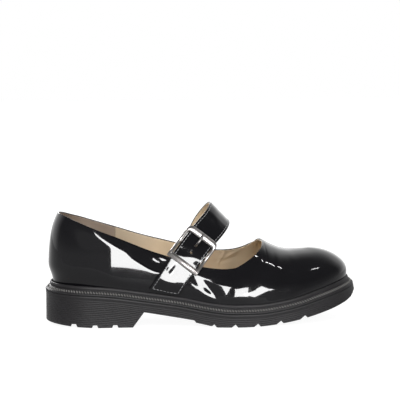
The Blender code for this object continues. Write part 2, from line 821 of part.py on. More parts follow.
def build_chape(leather):
    """The short tab sewn to the outer quarter, with the middle bar in its fold and a slot for the pin."""
    place, _, _ = buckle_place()
    first, last = turn_at(CHAPE_LIFT[1][0]), turn_at(CHAPE_LIFT[-1][0])
    turns = [first + (last - first) * i / 9 for i in range(10)]
    bm = bmesh.new()
    band(bm, turns, CHAPE_WIDTH, CHAPE_THICK,
         lambda turn: read(CHAPE_LIFT, "lift", strap_height(turn, 0.0)))
    chape = make_object("chape", bm, leather)
    bm = bmesh.new()
    bmesh.ops.create_cube(bm, size=1.0)
    bmesh.ops.scale(bm, vec=(*CHAPE_SLOT, CUT_PAST), verts=bm.verts[:])
    bmesh.ops.transform(bm, matrix=place, verts=bm.verts[:])
    boolean(chape, make_object("chape_slot", bm, cutter=True))
    bore = BAR_WIRE / 2 + GAP
    bm = bmesh.new()
    tube(bm, [Vector((end * CHAPE_WIDTH, 0.0, 0.0)) for end in (-1, 1)], bore + CHAPE_THICK / 2, FOLD_SIDES, False)
    bmesh.ops.transform(bm, matrix=place, verts=bm.verts[:])
    boolean(chape, make_object("chape_end", bm, cutter=True))
    for side in (-1, 1):
        inner, outer = side * (CHAPE_SLOT[0] / 2 + 0.2), side * CHAPE_WIDTH / 2
        rows = []
        for x, radius in ((inner, bore + CHAPE_THICK), (outer, bore + CHAPE_THICK), (outer, bore), (inner, bore)):
            angles = [2 * math.pi * k / FOLD_SIDES for k in range(FOLD_SIDES)]
            rows.append([Vector((x, radius * math.cos(t), radius * math.sin(t))) for t in angles])
        bm = bmesh.new()
        loft(bm, rows + rows[:1])
        bmesh.ops.transform(bm, matrix=place, verts=bm.verts[:])
        boolean(chape, make_object(f"fold_{'rear' if side < 0 else 'front'}", bm, cutter=True), "UNION")
    return chape


# ---------------------------------------------------------------- build
def main():
    for obj in list(bpy.data.objects):
        bpy.data.objects.remove(obj)
    rubber = make_material("black_rubber", (0.02, 0.02, 0.022), 0.6)
    patent = make_material("black_patent_leather", (0.006, 0.006, 0.007), 0.08, coat=1.0)
    lining = make_material("beige_lining_leather", (0.62, 0.47, 0.33), 0.6)
    metal = make_material("silver_metal", (0.75, 0.75, 0.76), 0.15, metallic=1.0)
    build_sole(rubber)
    build_welt(rubber)
    build_insole(lining)
    build_upper(patent)
    build_strap(patent)
    build_chape(patent)
    build_buckle(metal)
    build_pin(metal)


if __name__ == "__main__":
    main()
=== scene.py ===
"""Looks of a right-foot patent strap shoe with a buckle.

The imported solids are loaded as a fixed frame, and each operator below models
one piece of the shoe over them.  Sizes are millimetres until finish_mesh turns
them into metres.  X runs from heel to toe, Y to the inner (big-toe) side and Z
up from the floor.
"""

import math

import bmesh
import bpy
from bpy.props import FloatProperty, FloatVectorProperty, IntProperty, PointerProperty
from mathutils import Matrix, Vector


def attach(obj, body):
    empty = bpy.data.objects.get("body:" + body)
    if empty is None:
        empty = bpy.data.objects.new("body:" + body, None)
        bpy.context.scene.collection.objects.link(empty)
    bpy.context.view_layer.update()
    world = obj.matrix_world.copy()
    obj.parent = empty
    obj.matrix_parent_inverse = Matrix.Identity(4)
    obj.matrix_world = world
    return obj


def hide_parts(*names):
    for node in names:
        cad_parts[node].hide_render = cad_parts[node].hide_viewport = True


bl_info = {
    "name": "Patent strap shoe",
    "version": (1, 0, 0),
    "blender": (4, 5, 0),
    "location": "3D View > Sidebar > Strap shoe",
    "description": "Models the visible pieces of a patent leather strap shoe round its solids",
    "category": "Add Mesh",
}

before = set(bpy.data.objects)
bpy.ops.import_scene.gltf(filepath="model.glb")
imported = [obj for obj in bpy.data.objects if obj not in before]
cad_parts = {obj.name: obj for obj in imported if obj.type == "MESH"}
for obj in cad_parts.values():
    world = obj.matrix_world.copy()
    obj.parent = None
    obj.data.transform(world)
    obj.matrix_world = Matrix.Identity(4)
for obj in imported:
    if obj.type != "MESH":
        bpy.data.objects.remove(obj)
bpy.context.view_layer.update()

MM = 0.001
GAP = 0.3                # between pieces that touch
CUT_PAST = 12.0          # a cutter reaches this far past what it cuts
UP = Vector((0.0, 0.0, 1.0))
SIDEWAYS = Vector((1.0, 0.0, 0.0))

# ---------------------------------------------------------------- the shoe's sizes
SOLE_LENGTH = 270.4
HEEL_ARC = 36.0          # how far the round of the heel reaches forward
TOE_ARC = 66.0           # how far the round of the toe reaches back
HEEL_ROUND = 2.15        # 2 is an ellipse, more is squarer
TOE_ROUND = 2.2
TOE_INSWING = 7.0        # the toe's tip lies this far to the inner side
HEEL_LEDGE = 0.35        # the ledge is this much wider behind the heel
HEEL_LEDGE_RUN = (0.7, 1.0)                 # as shares of half the sole's length
INSWING_RUN = (20.0, 135.0)                 # the middle line swings inwards between these stations
BOX_MIDDLE = Vector((1.253, 0.754, 0.0))    # of the whole shoe; it is moved over the origin

SOLE_PLAN = (
    ("x", "lateral", "medial"),
    (-136.0, 35.0, 34.5),
    (-100.0, 36.0, 35.0),
    (-75.0, 36.5, 34.5),
    (-50.0, 37.5, 33.0),
    (-25.0, 40.0, 32.5),
    (0.0, 44.5, 35.0),
    (25.0, 48.5, 40.0),
    (50.0, 50.0, 45.0),
    (70.0, 49.5, 47.0),
    (100.0, 48.0, 47.5),
    (136.0, 47.5, 47.5),
)

# Height of the line where the upper goes into the welt.
WELT_LINE = (
    ("x", "z"),
    (-134.3, 37.0),
    (-110.3, 36.0),
    (-83.3, 34.2),
    (-48.3, 29.5),
    (-21.3, 25.6),
    (5.7, 20.6),
    (23.7, 19.0),
    (43.7, 19.2),
    (61.7, 21.0),
    (79.7, 24.3),
    (96.7, 28.8),
    (113.7, 33.2),
    (125.7, 36.0),
    (137.7, 38.5),
)

UPPER_INSET = 4.5           # the upper's feather edge from the sole's edge
# The welt's section: a round bead, a gutter, a sloping ledge and a rim.
WELT_SECTION = (
    ("down", "inset"),
    (0.5, 4.2),
    (0.05, 3.85),
    (0.2, 3.3),
    (0.8, 2.95),
    (1.7, 2.8),
    (2.6, 2.95),
    (3.2, 3.35),
    (3.6, 3.3),
    (4.0, 2.8),
    (6.1, 0.3),
    (6.5, 0.05),
    (6.9, 0.0),
    (7.4, 0.05),
    (7.85, 0.35),
    (8.0, 4.2),
)
LEDGE_MIDDLE = (5.0, 1.6)   # down and inset of the row of ticks on the ledge
LEDGE_SLOPE = 50.0          # degrees that the ledge falls
TICK_SIZE = (2.8, 1.1, 0.9)
TICK_SLANT = 0.55           # how far a tick leans along the ledge
SOLE_TOP = 8.3              # top of the outsole under the welt line
# The outsole's side over its ribs.
SIDE_TOP = (
    ("down", "inset"),
    (8.05, 1.0),
    (8.2, 0.45),
    (8.7, 0.2),
    (9.3, 0.15),
    (10.1, 0.3),
    (10.5, 0.55),
    (10.9, 0.35),
)
RIB_INSET = 0.3
SIDE_FOOT = 36.0            # the ribbed side reaches this far down, past the tread
TOE_LEAN = 0.29             # the toe's side slopes forward this much per mm down
TOE_LEAN_RUN = (60.0, 120.0)
TOE_LEAN_DEPTH = 16.0       # the slope ends this far under the welt line

# The tread: stations and heights of the heel's rounded back, its breast, the arch and the toe.
HEEL_BEVEL = ((-140.0, 3.9), (-128.0, 2.6), (-112.0, 1.2), (-94.0, 0.0))
HEEL_FRONT = -62.3
BREAST_TOP = (-52.8, 13.0)
ARCH_END = (-10.3, 6.0)
TREAD_START = (-8.8, 4.0)
TREAD_FLAT = (9.5, 28.0)    # the tread stands on the floor between these stations
TOE_SPRING_RADIUS = 275.0
TOE_CORNER = ((125.0, 17.2), (131.0, 20.2), (135.0, 23.8), (141.0, 28.2))
# The block under the tread's line is cut away: its other corners and half its width.
GROUND_BLOCK = ((150.0, 60.0), (150.0, -40.0), (-150.0, -40.0), (-150.0, 6.0))
GROUND_HALF = 80.0
HEEL_NOTCHES = (-112.4, -94.6, -77.4)
TREAD_NOTCHES = (6.6, 24.8, 44.2, 64.4, 86.0)
NOTCH_REACH = 19.0          # from the sole's edge inwards
NOTCH_BELOW = 1.0           # the cutter starts this far under the tread
# The notches' sections, for the heel and the tread: how far the corners lie from the station.
NOTCH = (
    ("depth", "rear_foot", "rear_top", "front_top", "front_foot"),
    (2.3, -2.65, -1.7, 1.7, 2.65),
    (2.6, -3.6, -0.2, 1.5, 1.9),
)
CHANNEL_INSET = 20.5        # from the sole's edge to the channel along it
CHANNEL_WIDTH = 3.2
CHANNEL_DEPTH = 2.4
GROOVE_FOOT = -5.0          # the channels' cutters start at this height
HEEL_CHANNEL = (-108.0, -67.0)
TREAD_CHANNEL = (-2.0, 104.0)
HEEL_CROSSES = (-103.5, -86.2)
TREAD_CROSSES = (15.5, 34.5, 54.2, 75.0, 95.0)

WALL = 1.8
# The last that the upper is pulled over: its ridge's height and the powers of its two sides' curves.
LAST = (
    ("x", "ridge", "lateral", "medial"),
    (-102.0, 111.0, 2.75, 2.75),
    (-68.0, 116.0, 2.7, 2.7),
    (-28.0, 115.0, 2.4, 2.6),
    (-5.0, 109.5, 2.05, 2.4),
    (8.0, 101.0, 1.95, 2.3),
    (16.0, 92.8, 1.95, 2.3),
    (24.5, 84.8, 2.05, 2.4),
    (33.0, 80.2, 2.15, 2.45),
    (44.0, 75.4, 2.15, 2.45),
    (55.5, 69.2, 2.15, 2.4),
    (63.0, 65.0, 2.15, 2.3),
    (71.5, 61.6, 2.15, 2.25),
    (80.0, 60.2, 2.15, 2.2),
    (89.0, 60.5, 2.15, 2.15),
    (97.0, 61.2, 2.15, 2.15),
)
# Past the fans' starts the sections fan out, and end on the ridge at these stations.
RIDGE_TOE = 96.0
RIDGE_HEEL = -101.0
TOE_FAN_START = 52.0
HEEL_FAN_START = -66.0
RIDGE_INSWING = 4.0         # the ridge lies to the inner side over the toes
RIDGE_RUN = (10.0, 70.0)
# The quarter stands out past its plain section, and most at the heel; each run names two stations.
SIDE_BULGE = 1.0
SIDE_BULGE_RUN = (40.0, -40.0)
HEEL_BULGE = 3.6
HEEL_BULGE_RUN = (-60.0, -120.0)
BULGE_RISE = (7.0, 16.0)    # the bulge is full this far above the welt line, at the waist and the heel
BULGE_RISE_RUN = (-70.0, -100.0)

TOPLINE = (
    ("x", "lateral", "medial"),
    (-150.0, 97.5, 97.5),
    (-126.0, 96.5, 96.5),
    (-110.0, 90.8, 91.8),
    (-93.0, 83.6, 86.4),
    (-75.0, 76.6, 81.2),
    (-48.0, 65.6, 73.5),
    (-30.0, 59.8, 69.0),
    (-12.0, 54.2, 64.4),
    (3.5, 50.9, 60.9),
    (15.5, 50.0, 58.6),
    (24.0, 50.4, 57.8),
    (31.5, 53.2, 57.8),
    (39.5, 57.6, 59.0),
    (46.5, 62.2, 61.8),
    (52.0, 66.8, 65.8),
    (55.0, 69.8, 69.8),
    (57.0, 74.0, 74.0),
    (60.0, 86.0, 86.0),
)
TOPLINE_SPAN = 70.0         # between the two columns, across the shoe
THROAT = (42.0, 62.0)       # where the topline sweeps over the vamp
LINING_CLOSE = (6.0, 62.0)  # where the lining has its throat and its wrinkles
CLOSER = 5                  # there the sections lie this many times closer
LINING_GAP = 0.04           # between the leather and its lining
LINING_JOINT = -74.0        # where the heel's lining meets the front lining

# Soft dents (below 0) and swellings of the skin, placed on the side of the shoe.
DENTS = (
    ("x", "z", "side", "long", "wide", "turned", "height"),
    (-39.5, 60.0, -1, 5.5, 3.2, -10.0, 0.7),
    (-17.0, 31.0, -1, 16.0, 11.0, 90.0, 0.45),
    (-5.8, 30.1, -1, 16.0, 3.2, -31.0, 0.62),
    (-3.0, 35.4, -1, 14.0, 2.8, -53.0, 0.38),
    (3.2, 33.0, -1, 10.0, 3.5, -55.0, -0.3),
    (0.3, 34.7, -1, 12.0, 2.4, -46.0, -0.32),
    (-1.8, 36.3, -1, 8.0, 2.0, -50.0, -0.2),
    (4.0, 41.5, -1, 2.5, 2.0, -45.0, 0.2),
    (27.0, 27.0, -1, 14.0, 6.5, 0.0, 0.45),
    (20.0, 29.0, -1, 6.0, 2.6, 80.0, -0.26),
    (19.0, 33.0, -1, 5.0, 3.0, 0.0, -0.12),
    (56.0, 25.0, -1, 9.0, 4.0, 20.0, -0.2),
    (72.0, 30.0, -1, 9.0, 6.0, 0.0, -0.3),
    (50.0, 57.0, -1, 6.0, 3.0, 80.0, -0.3),
    (64.0, 53.0, -1, 6.0, 2.2, 75.0, 0.28),
    (77.0, 50.0, -1, 7.0, 2.6, 110.0, -0.25),
    (128.0, 45.0, -1, 14.0, 8.0, 0.0, 1.4),
    (128.0, 45.0, 1, 14.0, 8.0, 0.0, 1.4),
)
LINING_WRINKLES = (
    ("x", "z", "side", "long", "wide", "turned", "height"),
    (24.0, 52.0, 1, 11.0, 1.3, 62.0, -0.6),
    (33.0, 53.0, 1, 12.0, 1.3, 28.0, -0.6),
    (16.0, 52.0, 1, 10.0, 1.3, 108.0, -0.55),
    (27.0, 48.0, 1, 12.0, 2.0, 12.0, 0.5),
)
# The quarter leans in from this far under the topline, and this steeply.
TOPLINE_ROLL = (
    ("x", "depth", "slope"),
    (-125.0, 6.0, 0.0),
    (-100.0, 6.0, 0.02),
    (-93.0, 6.6, 0.05),
    (-80.0, 9.0, 0.1),
    (-67.0, 11.0, 0.12),
    (-60.0, 15.0, 0.15),
    (-43.0, 18.0, 0.17),
    (-25.0, 14.0, 0.12),
    (-10.0, 9.0, 0.1),
    (5.0, 13.0, 0.1),
    (16.0, 15.0, 0.1),
    (28.0, 18.0, 0.06),
    (36.0, 20.0, 0.0),
)
ROLL_RUN = 3.0                  # the lean is eased in over this height
INNER_ROLL = 0.35               # how much of the lean the inner side has
COUNTER_EDGE = -74.5            # ahead of it the quarter stands out from the stiff heel
COUNTER_STEP = 3.2
COUNTER_TOP = 68.0              # over this height the edge runs back at a half right angle
COUNTER_RUN = 32.0              # the step is eased in over this length
COUNTER_BACK = -134.5           # and out again up to here
COUNTER_BACK_RUN = 26.0

INSOLE_THICK = 4.0
# The insole's upper side: crowned a little under the foot.
INSOLE_CROWN = (
    ("down", "inset"),
    (0.6, 0.0),
    (0.15, 0.2),
    (0.0, 0.7),
    (0.5, 5.0),
    (0.9, 12.0),
    (1.0, 20.0),
)

STRAP_WIDTH = 24.3
STRAP_THICK = 2.0
BAND_CHAMFER = 0.15         # at the edges of the underside
STRAP_ROUTE = (
    ("height", "x", "tilt"),
    (20.0, -42.5, 30.0),
    (30.0, -35.4, 30.0),
    (54.8, -19.0, 32.5),
    (75.6, -2.4, 35.5),
    (92.4, 14.8, 46.0),
    (115.0, 36.0, 50.0),
)
CREST_BETWEEN = (60.0, 115.0)   # the heights between which the route crosses the ridge
INNER_FORWARD = 0.5         # on the inner side the strap runs this much forward per mm down
INNER_TILT = 22.0           # and turns by these degrees over a height
INNER_BEND = 35.0
# How far the strap's underside lies off the last's wall.
STRAP_LIFT = (
    ("height", "lift"),
    (25.0, 0.5),
    (30.0, 0.7),
    (38.0, 3.1),
    (46.0, 2.6),
    (56.0, 1.9),
    (65.2, 1.9),
    (72.0, 0.65),
    (85.0, 0.5),
)
INNER_LIFT = 0.5
STRAP_TILT = 0.08           # its back edge stands higher by this much per mm across
TILT_IN = (31.0, 37.0)
TILT_OUT = (62.0, 57.0)
TAIL_HEIGHT = 30.0          # of the free end, on the outer side
TAIL_CUT = 0.28             # its slant
LAP_HEIGHT = 48.0           # of the sewn end, on the inner side
SKIN_FOOT = 0.9             # the strap's outer skin starts at this height in it
PIN_HOLES = (69.3, 63.6)
HOLE_DIAMETER = 3.8
PIN_SLOT = 1.9              # the hole is narrower in the strap's stiffening
STRAP_BEND = 89.0           # the strap is creased at this height and bends over the instep above it
# The strap's skin is pressed down round its holes, and stands up at its crease.
HOLE_PRESS = 0.05
HOLE_PRESS_REACH = 1.6
CREASE_RISE = 0.16
CREASE_REACH = 0.8
BEND_FALL = 0.02            # over the crease the skin falls away this much per mm
BEND_RUN = 2.0
FOLD = (47.5, -5.0, 2.8, 4.5, -0.76)    # an S across the strap: height, across, wide, long and rise
# Soft dents (below 0) and swellings across the strap, which may rise at a slant.
STRAP_DENTS = (
    ("height", "across", "slant", "wide", "long", "rise"),
    (65.0, 0.0, 0.4, math.inf, 5.0, -0.35),
    (36.0, 1.0, 0.0, 7.0, 5.0, 0.35),
)
BACKING_END = 0.995         # the turn where the strap's backing ends
BACKING_LESS = 1.0          # it is this much narrower than the strap, and its holes are wider
STITCH_INSET = 1.9          # from the strap's edge
STITCH_SHARE = 0.78         # of its pitch that a stitch fills
STITCH_SIZE = (0.62, 0.42)
STITCH_SINK = 0.08          # its middle lies this far under the strap's face
STITCH_END = 0.985          # the turn where the rows of stitches end

LOWER_BAR = 54.8            # heights on the strap's route
MIDDLE_BAR = 65.2
UPPER_BAR = 75.6
BAR_CLEAR = 0.5             # between the strap and the bars over it
MIDDLE_BAR_LIFT = -1.0      # off the last's wall
MIDDLE_BAR_CRANK = 1.8      # its ends are bent out to the rails by this much
WIRE = 3.0
BAR_WIRE = 2.2
PIN_WIRE = 1.8
PIN_EYE_WIRE = 1.0
# The pin's way from its eye through the hole and over the upper bar, with half its depth and width.
PIN_ROUTE = (
    ("from", "along", "out", "deep", "wide"),
    ("eye", 0.1, 0.2, 0.9, 0.9),
    ("hole", -1.4, 0.6, 0.9, 0.9),
    ("hole", -0.4, 1.8, 0.9, 0.9),
    ("hole", 0.0, 3.4, 0.9, 0.9),
    ("hole", 0.8, 5.0, 0.9, 0.9),
    ("over_hole", 2.6, 0.2, 0.85, 1.0),
    ("bar", 0.0, 0.0, 0.7, 1.15),
    ("bar", 2.0, -0.3, 0.45, 0.7),
)
RAIL_REACH = 13.9
RAIL_HALF = (1.45, 1.5)     # half the width and half the thickness
UPPER_BAR_HALF = (2.9, 1.3)
WIRE_STEP = 1.2             # between the rings of the rails
UPPER_CORNER = 4.3          # radius of the corners at the upper bar
LOWER_BAR_PAST = 1.7        # the lower bar ends this far past the rails' middle lines
# The lower bar's section, two flat strips with a groove between them: up the strap, and out.
LOWER_BAR_RING = (
    (-2.4, -1.1),
    (2.4, -1.1),
    (2.6, -0.4),
    (2.4, 0.7),
    (1.7, 1.25),
    (0.5, 1.3),
    (0.2, 0.75),
    (-0.1, 0.75),
    (-0.4, 1.3),
    (-1.7, 1.1),
    (-2.4, 0.5),
    (-2.6, -0.4),
)
LOWER_BAR_TAPER = (0.8, 1.0, 1.0, 0.8)
LOWER_BAR_SOFT = 0.4        # its ends narrow over this length
# The middle bar's ends: across from its middle, and out.
MIDDLE_BAR_END = (
    (10.5, 0.0),
    (12.4, 0.4),
    (RAIL_REACH, MIDDLE_BAR_CRANK),
)


# ---------------------------------------------------------------- what a user would change
def length_property(name, description, default, **limits):
    return FloatProperty(name=name, description=description, default=default, unit="LENGTH", **limits)


def colour_property(name, description, default):
    return FloatVectorProperty(name=name, description=description, default=default, subtype="COLOR", size=3)


class ShoeSizes(bpy.types.PropertyGroup):
    ring: IntProperty(
        name="Points round", description="Points round the shoe's outline", default=288, min=96, max=480)
    leather: length_property("Leather", "Thickness of the patent leather", 0.001, min=0.0005, max=0.0016)
    edge: length_property("Edge", "Radius of the leather's rounded edges", 0.00042, min=0.00005, max=0.0009)
    lining_drop: length_property("Lining drop", "How far under the topline the lining stops", 0.0007)
    rib_pitch: length_property("Rib pitch", "From rib to rib down the sole's side", 0.0016, min=0.0008)
    rib_depth: length_property("Rib depth", "Depth of the ribs on the sole's side", 0.00026)
    tick_pitch: length_property("Tick pitch", "From tick to tick on the ledge", 0.0024, min=0.001)
    stitch_pitch: length_property("Stitch pitch", "From stitch to stitch on the strap", 0.003, min=0.0015)


class ShoeColours(bpy.types.PropertyGroup):
    patent: colour_property("Patent", "Patent leather", (0.0066, 0.0064, 0.0078))
    rubber: colour_property("Rubber", "Outsole and welt", (0.0185, 0.0173, 0.019))
    lining: colour_property("Lining", "Lining leather", (0.8, 0.645, 0.45))
    heel_grip: colour_property("Heel grip", "Lining round the heel", (0.31, 0.235, 0.175))
    metal: colour_property("Metal", "Buckle", (0.46, 0.437, 0.428))
    # The thread's grey is a painted sheen: the thread itself is black, and the grey stands for its glints.
    thread: colour_property("Thread", "Strap stitches", (0.22, 0.22, 0.225))
    # The ticks' pale colour is a painted highlight on them.
    tick: colour_property("Ledge ticks", "Paler ticks on the welt's ledge", (0.18, 0.176, 0.168))


# ---------------------------------------------------------------- reading tables
def read(table, column, at):
    """A column's value on the smooth curve through the table's rows."""
    key, rows = table[0].index(column), table[1:]
    xs = [row[0] for row in rows]
    ys = [row[key] for row in rows]
    if at <= xs[0]:
        return ys[0]
    if at >= xs[-1]:
        return ys[-1]
    i = max(j for j in range(len(xs) - 1) if xs[j] <= at)

    def slope(j):
        return (ys[j + 1] - ys[j]) / (xs[j + 1] - xs[j])

    def tangent(j):
        if j in (0, len(xs) - 1):
            return slope(min(j, len(xs) - 2))
        low, high = slope(j - 1), slope(j)
        if low * high <= 0:
            return 0.0
        before, after = xs[j] - xs[j - 1], xs[j + 1] - xs[j]
        return (before + after) / (after / high + before / low)

    span = xs[i + 1] - xs[i]
    t = (at - xs[i]) / span
    return (
        ys[i] * (2 * t - 3) * t * t + ys[i]
        + tangent(i) * span * t * (1 - t) ** 2
        + ys[i + 1] * (3 - 2 * t) * t * t
        + tangent(i + 1) * span * t * t * (t - 1)
    )


def ease(t):
    """0 to 1 with soft ends."""
    t = min(max(t, 0.0), 1.0)
    return t * t * (3 - 2 * t)


def ease_between(at, start, end):
    """0 at the start to 1 at the end, with soft ends; the end may lie on either side."""
    return ease((at - start) / (end - start))


def fade(away, reach):
    """1 at the middle of a soft mark, dying out past its reach."""
    return math.exp(-(away / reach) ** 2)


def blend(low, high, t):
    return low + (high - low) * t


def evenly(start, end, steps):
    """Evenly spaced numbers from the start to the end."""
    return [blend(start, end, i / steps) for i in range(steps + 1)]


def halve(low, high, before, rounds):
    """The place between low and high where before() stops being true."""
    for _ in range(rounds):
        half = (low + high) / 2
        low, high = (half, high) if before(half) else (low, half)
    return low


# ---------------------------------------------------------------- the shoe's form
def middle(x):
    """The sole's middle line, which swings inwards over the toes."""
    return TOE_INSWING * ease_between(x, *INSWING_RUN)


def half_width(x, side, inset=0.0):
    """Half the width of the sole's outline, less an inset, on one side of the middle line."""
    column = "medial" if side > 0 else "lateral"
    half = SOLE_LENGTH / 2 - inset
    width = read(SOLE_PLAN, column, x) - inset
    if x < 0:
        arc, power = HEEL_ARC - inset, HEEL_ROUND
    else:
        arc, power = TOE_ARC - inset, TOE_ROUND
    reach = min(max((abs(x) - (half - arc)) / arc, 0.0), 1.0)
    return width * (1 - reach ** power) ** (1 / power)


def outline(turn, inset):
    """A point of the sole's outline; turn goes once round from the toe by the inner side."""
    along = math.cos(2 * math.pi * turn)
    inset *= 1 + HEEL_LEDGE * ease_between(-along, *HEEL_LEDGE_RUN)
    x = (SOLE_LENGTH / 2 - inset) * along
    side = 1 if turn % 1.0 < 0.5 else -1
    return x, middle(x) + side * half_width(x, side, inset)


def welt_height(x):
    return read(WELT_LINE, "z", x)


def ridge_station(x):
    """Where the ridge is met by the section that starts at x on the feather edge."""
    if x > TOE_FAN_START:
        start, ridge_end, sign = TOE_FAN_START, RIDGE_TOE, 1
    elif x < HEEL_FAN_START:
        start, ridge_end, sign = HEEL_FAN_START, RIDGE_HEEL, -1
    else:
        return x
    run = sign * (x - start)
    reach = SOLE_LENGTH / 2 - UPPER_INSET - sign * start
    gain = sign * (ridge_end - start)
    return start + sign * (run - (reach - gain) * (run / reach) ** 2)


def ridge_middle(x):
    return RIDGE_INSWING * ease_between(x, *RIDGE_RUN)


def bulge(x, height, up):
    """How far the quarter stands out past its plain section."""
    amount = blend(SIDE_BULGE, HEEL_BULGE, ease_between(x, *HEEL_BULGE_RUN))
    amount *= ease_between(x, *SIDE_BULGE_RUN)
    rise = blend(*BULGE_RISE, ease_between(x, *BULGE_RISE_RUN))
    return amount * ease(height / rise) * (1 - up ** 6)


def arch(rise, power):
    """How far in and up the last's section has gone at rise, from its foot (0) to its ridge (1)."""
    if rise >= 1:
        return 1.0, 1.0
    across, along = math.cos(rise * math.pi / 2), math.sin(rise * math.pi / 2)
    size = (across ** power + along ** power) ** (-1 / power)
    return 1 - across * size, along * size


class Section:
    """One section of the upper, from the welt line up to the ridge."""

    def __init__(self, turn, depth):
        self.start_x, _ = outline(turn, UPPER_INSET)
        self.x, self.y = outline(turn, UPPER_INSET + depth)
        self.z = welt_height(self.start_x)
        top_x = ridge_station(self.start_x)
        self.top = Vector((top_x, ridge_middle(top_x), read(LAST, "ridge", top_x) - depth))
        self.power = read(LAST, "medial" if turn % 1.0 < 0.5 else "lateral", top_x)
        self.out = Vector((self.x - self.top.x, self.y - self.top.y, 0.0)).normalized()

    def point(self, rise):
        inward, up = arch(rise, self.power)
        height = (self.top.z - self.z) * up
        x, y = blend(self.x, self.top.x, inward), blend(self.y, self.top.y, inward)
        return Vector((x, y, self.z + height)) + self.out * bulge(self.start_x, height, up)

    def topline_rise(self, drop):
        """Where the section reaches the topline, or 1 where it ends on the ridge."""
        def over(rise):
            point = self.point(rise)
            return point.z + drop - topline_height(point.x, point.y)

        steps = evenly(0.0, 1.0, 50)
        low = next((a for a, b in zip(steps, steps[1:]) if over(a) < 0 <= over(b)), None)
        if low is None:
            return 1.0
        return halve(low, low + steps[1], lambda rise: over(rise) < 0, 14)


def topline_height(x, y):
    """The topline's height over a point of the plan."""
    lateral, medial = (read(TOPLINE, side, x) for side in ("lateral", "medial"))
    return (medial + lateral) / 2 + (medial - lateral) / TOPLINE_SPAN * y


def wall_y(x, z, side):
    """The upper's y at a height, for stations between the two fans."""
    foot, top = welt_height(x), read(LAST, "ridge", x)
    power = read(LAST, "medial" if side > 0 else "lateral", x)
    up = min(max((z - foot) / (top - foot), 0.0), 1.0)
    inward = 1 - (1 - up ** power) ** (1 / power)
    edge = middle(x) + side * half_width(x, side, UPPER_INSET)
    return edge + (ridge_middle(x) - edge) * inward + side * bulge(x, (top - foot) * up, up)


def sole_row(down, inset, ring):
    row = []
    for i in range(ring):
        x, y = outline(i / ring, inset)
        z = welt_height(x) - down
        lean = TOE_LEAN * ease_between(x, *TOE_LEAN_RUN) * min(down, TOE_LEAN_DEPTH)
        row.append(Vector((x + lean, y, z)))
    return row


def dent_at(table, point):
    """How far the skin stands out at a point, from a table of soft dents and swellings."""
    total = 0.0
    side_here = 1 if point.y > 0 else -1
    for x, z, side, long, wide, turned, height in table[1:]:
        if side != side_here:
            continue
        angle = math.radians(turned)
        dx, dz = point.x - x, point.z - z
        along = dx * math.cos(angle) + dz * math.sin(angle)
        across = dz * math.cos(angle) - dx * math.sin(angle)
        total += height * fade(along, long) * fade(across, wide)
    return total


def lean_at(point):
    """How far the skin lies in (below 0) under the topline, and behind the edge of the stiff heel."""
    depth, slope = (read(TOPLINE_ROLL, column, point.x) for column in ("depth", "slope"))
    past = point.z - topline_height(point.x, point.y) + depth
    roll = slope * max(past, 0.0) * ease(past / ROLL_RUN) * (1.0 if point.y < 0 else INNER_ROLL)
    behind = COUNTER_EDGE - max(point.z - COUNTER_TOP, 0.0) - point.x
    step = COUNTER_STEP * ease(behind / COUNTER_RUN) * ease((point.x - COUNTER_BACK) / COUNTER_BACK_RUN)
    return -roll - step


# ---------------------------------------------------------------- meshes
def loft(bm, rows):
    """Skin through rings of points: the first is a ring of edges, extruded ring by ring."""
    verts = [bm.verts.new(point) for point in rows[0]]
    count = len(verts)
    edges = [bm.edges.new((verts[i], verts[(i + 1) % count])) for i in range(count)]
    first = list(verts)
    for row in rows[1:]:
        grown = bmesh.ops.extrude_edge_only(bm, edges=edges)["geom"]
        fresh = {item for item in grown if isinstance(item, bmesh.types.BMVert)}
        edges = [item for item in grown if isinstance(item, bmesh.types.BMEdge)]
        verts = [next(e.other_vert(v) for e in v.link_edges if e.other_vert(v) in fresh) for v in verts]
        for vert, point in zip(verts, row):
            vert.co = point
    return first, verts


def solid(bm, rows):
    """A loft closed by a flat face at each end."""
    for ring in loft(bm, rows):
        bm.faces.new(ring)


def ruled_solid(bm, rows):
    """A loft closed at each end by strips from its inner to its outer side, as its ends are curved."""
    for ring in loft(bm, rows):
        count = len(ring)
        bm.faces.new((ring[0], ring[1], ring[count - 1]))
        for i in range(1, count // 2 - 1):
            bm.faces.new((ring[i], ring[i + 1], ring[count - i - 1], ring[count - i]))
        bm.faces.new((ring[count // 2 - 1], ring[count // 2], ring[count // 2 + 1]))


def new_object(name, bm):
    """Ends a bmesh and shows it as an object."""
    mesh = bpy.data.meshes.new(name)
    bm.to_mesh(mesh)
    bm.free()
    obj = bpy.data.objects.new(name, mesh)
    bpy.context.scene.collection.objects.link(obj)
    return obj


def smooth(mesh, sharp):
    """Smooth shading, but for edges sharper than an angle in degrees."""
    mesh.shade_smooth()
    mesh.set_sharp_from_angle(angle=math.radians(sharp))


def finish_mesh(name, bm, material, sharp=40.0):
    """Turns a bmesh in millimetres into a smooth object in metres, at the origin."""
    bmesh.ops.remove_doubles(bm, verts=bm.verts[:], dist=0.0005)
    bmesh.ops.recalc_face_normals(bm, faces=bm.faces[:])
    bmesh.ops.translate(bm, vec=-BOX_MIDDLE, verts=bm.verts[:])
    bmesh.ops.scale(bm, vec=(MM, MM, MM), verts=bm.verts[:])
    obj = new_object(name, bm)
    smooth(obj.data, sharp)
    if material:
        obj.data.materials.append(material)
    return obj


def cutter(bm):
    obj = finish_mesh("cutter", bm, None)
    obj.hide_render = True
    return obj


def wall(obj, thick, edge):
    """Gives a shell its thickness inwards and rounds its rim."""
    modifier = obj.modifiers.new("thickness", "SOLIDIFY")
    modifier.thickness = thick * MM
    modifier.offset = -1.0
    modifier.use_even_offset = True
    round_edges(obj, edge, angle=55.0)


def round_edges(obj, width, angle):
    """Rounds the edges sharper than an angle in degrees."""
    bevel = obj.modifiers.new("rounded", "BEVEL")
    bevel.width = width * MM
    bevel.segments = 3
    bevel.limit_method = "ANGLE"
    bevel.angle_limit = math.radians(angle)
    bevel.miter_outer = "MITER_ARC"


